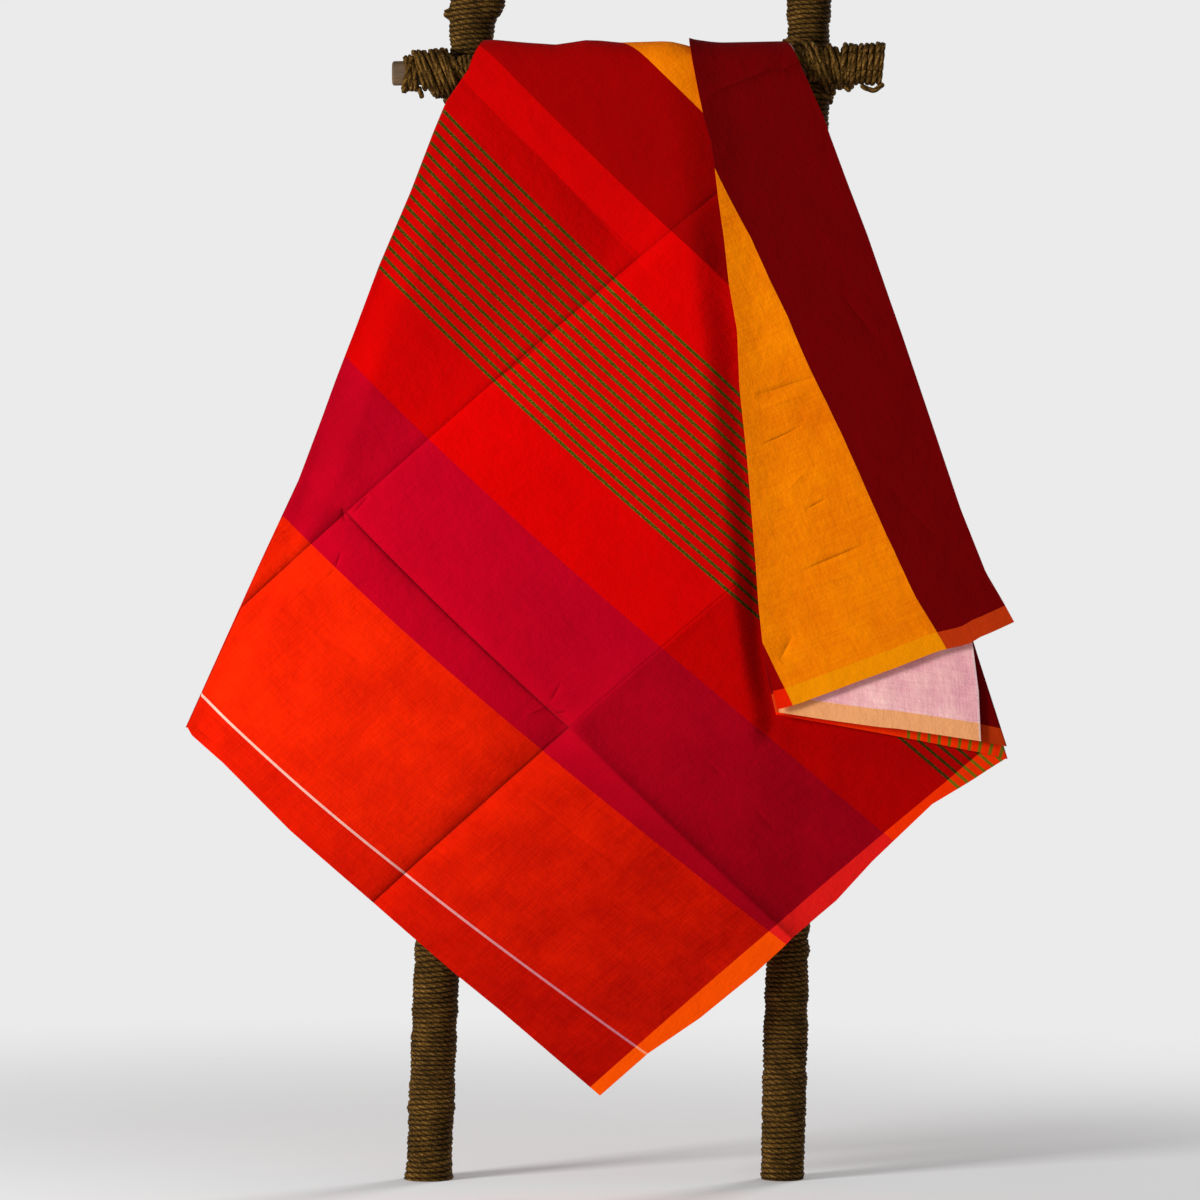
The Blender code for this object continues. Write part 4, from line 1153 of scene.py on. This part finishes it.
class SARONG_OT_lashings(bpy.types.Operator):
    """Makes the rope lashings that tie the rung to the poles, with their loose ends."""

    bl_idname = "sarong.lashings"
    bl_label = "Make lashings"

    def execute(self, context):
        rope = context.scene.rope_sizes.lashing
        half = rope / 2
        material = rope_material()
        seat_one, seat_two = RUNG_RADIUS + half * 1.1, RUNG_RADIUS + half * 3.1
        bare = RUNG_RADIUS + 0.0022
        under = RUNG_Y - 0.003
        left_paths = [
            rung_coil(-0.1622, -0.1535, seat_one, seat_one + 0.0010, rope, 0.10, 0.4, 0.0005, 4),
            rung_coil(-0.1608, -0.1560, seat_one + 0.0022, seat_one + 0.0014, rope, -0.38, 2.2, 0.0006, 18),
            rung_coil(-0.1530, -0.1180, seat_one, seat_one, rope, 0.30, 0.0, 0.0005, 5),
            rung_coil(-0.1490, -0.1215, seat_two - 0.0010, seat_two + 0.0006, rope, 0.42, 1.0, 0.0006, 6),
            rung_coil(-0.1160, -0.0862, bare, bare, rope * 0.9, 0.1, 2.0, 0.0001, 7),
            *(crossing_loop(-0.1170 + 0.0044 * i, 0.72, 0.0262, half * 0.85, 20 + i) for i in range(3)),
            *(crossing_loop(-0.1215 + 0.0050 * i, 2.25, 0.0262, half * 1.5, 30 + i) for i in range(2)),
            pole_coil(POLE_LEFT_X, 0.9060, 0.9330, 0.0202, rope * 0.8, 0.16, 8),
            tail(-0.1600, under, 0.9150, ((-1.0, -2.0, -3.0), (-1.5, -1.0, -6.0))),
            tail(-0.1510, under, 0.9130, ((1.0, -1.5, -4.0), (2.5, 0.0, -9.5))),
            tail(-0.1400, under, 0.9120, ((2.0, -1.0, -4.0), (1.5, 0.5, -7.0))),
        ]
        right_paths = [
            rung_coil(0.2355, 0.2015, seat_one, seat_one, rope, -0.10, 0.0, 0.0004, 9),
            rung_coil(0.2362, 0.2010, seat_two - 0.0012, seat_two - 0.0018, rope, -0.06, 1.0, 0.0006, 10),
            rung_coil(0.1990, 0.1700, bare, bare, rope * 0.9, 0.20, 2.0, 0.0002, 11),
            rung_coil(0.2010, 0.1930, seat_two - 0.0020, seat_two - 0.0015, rope, 0.35, 2.0, 0.0006, 15),
            *(crossing_loop(0.1700 + 0.0044 * i, -0.70, 0.0250, half * 0.85, 40 + i) for i in range(6)),
            *(crossing_loop(0.1800 + 0.0050 * i, -1.10, 0.0240, half * 1.6, 50 + i) for i in range(2)),
            pole_coil(POLE_RIGHT_X, 0.9060, 0.9180, 0.0204, rope * 0.8, -0.10, 12),
            pole_coil(POLE_RIGHT_X, 0.9430, 0.9530, 0.0202, rope * 0.8, -0.12, 13),
            tail(0.2180, under, 0.9150, ((4.0, -1.0, -3.5), (10.0, -1.0, -5.5), (16.0, -0.5, -2.0),
                                         (18.5, 0.0, 1.0))),
            tail(0.2050, under, 0.9140, ((1.0, -1.0, -2.0), (4.0, 0.0, -4.5))),
        ]
        for name, node, paths in (("lashing_left_rope", "lashing_left", left_paths),
                                  ("lashing_right_rope", "lashing_right", right_paths)):
            made = rope_piece(name, paths, half * 0.92, material)
            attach(made, "root")
            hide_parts(node)
        return {"FINISHED"}


class SARONG_OT_stage(bpy.types.Operator):
    """Makes the floor, the soft lights and the camera."""

    bl_idname = "sarong.stage"
    bl_label = "Make stage"

    def execute(self, context):
        sizes = context.scene.stage_sizes
        scene = context.scene
        floor = stage_floor()
        scene.world = studio_world(sizes)
        scene.view_settings.view_transform = "Standard"
        for name, place, width, power in LIGHTS:
            light = bpy.data.lights.new(name, "AREA")
            light.energy, light.size = getattr(sizes, power), width
            lamp = bpy.data.objects.new(name, light)
            scene.collection.objects.link(lamp)
            aim_at(lamp, place, LIGHT_AIM)
        camera = bpy.data.cameras.new("camera")
        seen = bpy.data.objects.new("camera", camera)
        scene.collection.objects.link(seen)
        camera.lens = SENSOR_WIDTH * sizes.distance / FRAME_WIDTH
        camera.clip_end = 50.0
        aim_at(seen, (0.0, FOCUS_Y - sizes.distance, VIEW_HEIGHT), (0.0, 0.0, VIEW_HEIGHT))
        scene.camera = seen
        return {"FINISHED"}


def aim_at(thing, place, aim):
    """Puts a light or camera at place, looking at aim."""
    thing.location = place
    thing.rotation_euler = (Vector(aim) - Vector(place)).to_track_quat("-Z", "Y").to_euler()


def studio_world(sizes):
    """Even light from all round, with a plain pale background behind the object."""
    world = bpy.data.worlds.new("soft studio")
    world.use_nodes = True
    tree = world.node_tree
    light = tree.nodes["Background"]
    light.inputs[0].default_value = (1.0, 1.0, 1.0, 1.0)
    light.inputs[1].default_value = sizes.ambient
    paper = tree.nodes.new("ShaderNodeBackground")
    paper.inputs[0].default_value = (1.0, 1.0, 1.0, 1.0)
    paper.inputs[1].default_value = sizes.paper
    seen = tree.nodes.new("ShaderNodeLightPath")
    blend = tree.nodes.new("ShaderNodeMixShader")
    tree.links.new(seen.outputs["Is Camera Ray"], blend.inputs[0])
    tree.links.new(light.outputs[0], blend.inputs[1])
    tree.links.new(paper.outputs[0], blend.inputs[2])
    tree.links.new(blend.outputs[0], tree.nodes["World Output"].inputs[0])
    return world


def stage_floor():
    """A flat pale floor that fades away round its rim, as a grid."""
    across = np.linspace(-FLOOR_REACH, FLOOR_REACH, FLOOR_POINTS)
    x, y = np.meshgrid(across, across, indexing="ij")
    points = np.stack([x, y, 0 * x - FLOOR_DROP], axis=-1).reshape(-1, 3)
    nodes = Nodes("pale floor")
    coordinates = nodes.source("ShaderNodeTexCoord", "Object")
    colour = nodes.ramp(nodes.noise(coordinates, 3.0), [(0.0, (0.80, 0.80, 0.80)), (1.0, (0.84, 0.84, 0.84))])
    reach = nodes.add("ShaderNodeVectorMath", operation="LENGTH")
    nodes.put(reach.inputs[0], coordinates)
    fade = nodes.ease(Value(nodes, reach.outputs["Value"]), *FLOOR_FADE, 1.0, 0.0)
    nodes.surface(Base_Color=colour, Roughness=0.9, Alpha=fade)
    return mesh_object("floor", points, grid_quads(0, len(across), len(across))[:, ::-1], nodes.material)


class SARONG_PT_panel(bpy.types.Panel):
    """Lists the sizes and the steps."""

    bl_label = "Sarong"
    bl_idname = "SARONG_PT_panel"
    bl_space_type = "VIEW_3D"
    bl_region_type = "UI"
    bl_category = "Sarong"

    def draw(self, context):
        """Every size, then a button for every step."""
        for group in (context.scene.sarong_sizes, context.scene.rope_sizes, context.scene.stage_sizes):
            for key in group.bl_rna.properties.keys():
                if key not in ("rna_type", "name"):
                    self.layout.prop(group, key)
        for step in STEPS:
            self.layout.operator(step.bl_idname)


GROUPS = (("sarong_sizes", SarongSizes), ("rope_sizes", RopeSizes), ("stage_sizes", StageSizes))
STEPS = (SARONG_OT_cloth, SARONG_OT_poles, SARONG_OT_rung, SARONG_OT_lashings, SARONG_OT_stage)


def register():
    """Registers the size groups, the steps and the panel."""
    for _, group in GROUPS:
        bpy.utils.register_class(group)
    for step in (*STEPS, SARONG_PT_panel):
        bpy.utils.register_class(step)
    for name, group in GROUPS:
        setattr(bpy.types.Scene, name, bpy.props.PointerProperty(type=group))


def unregister():
    """Takes back what register() did."""
    for name, _ in GROUPS:
        delattr(bpy.types.Scene, name)
    for step in (SARONG_PT_panel, *reversed(STEPS)):
        bpy.utils.unregister_class(step)
    for _, group in reversed(GROUPS):
        bpy.utils.unregister_class(group)


def main():
    register()
    bpy.ops.sarong.cloth()
    bpy.ops.sarong.poles()
    bpy.ops.sarong.rung()
    bpy.ops.sarong.lashings()
    bpy.ops.sarong.stage()
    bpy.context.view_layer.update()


if __name__ == "__main__":
    main()
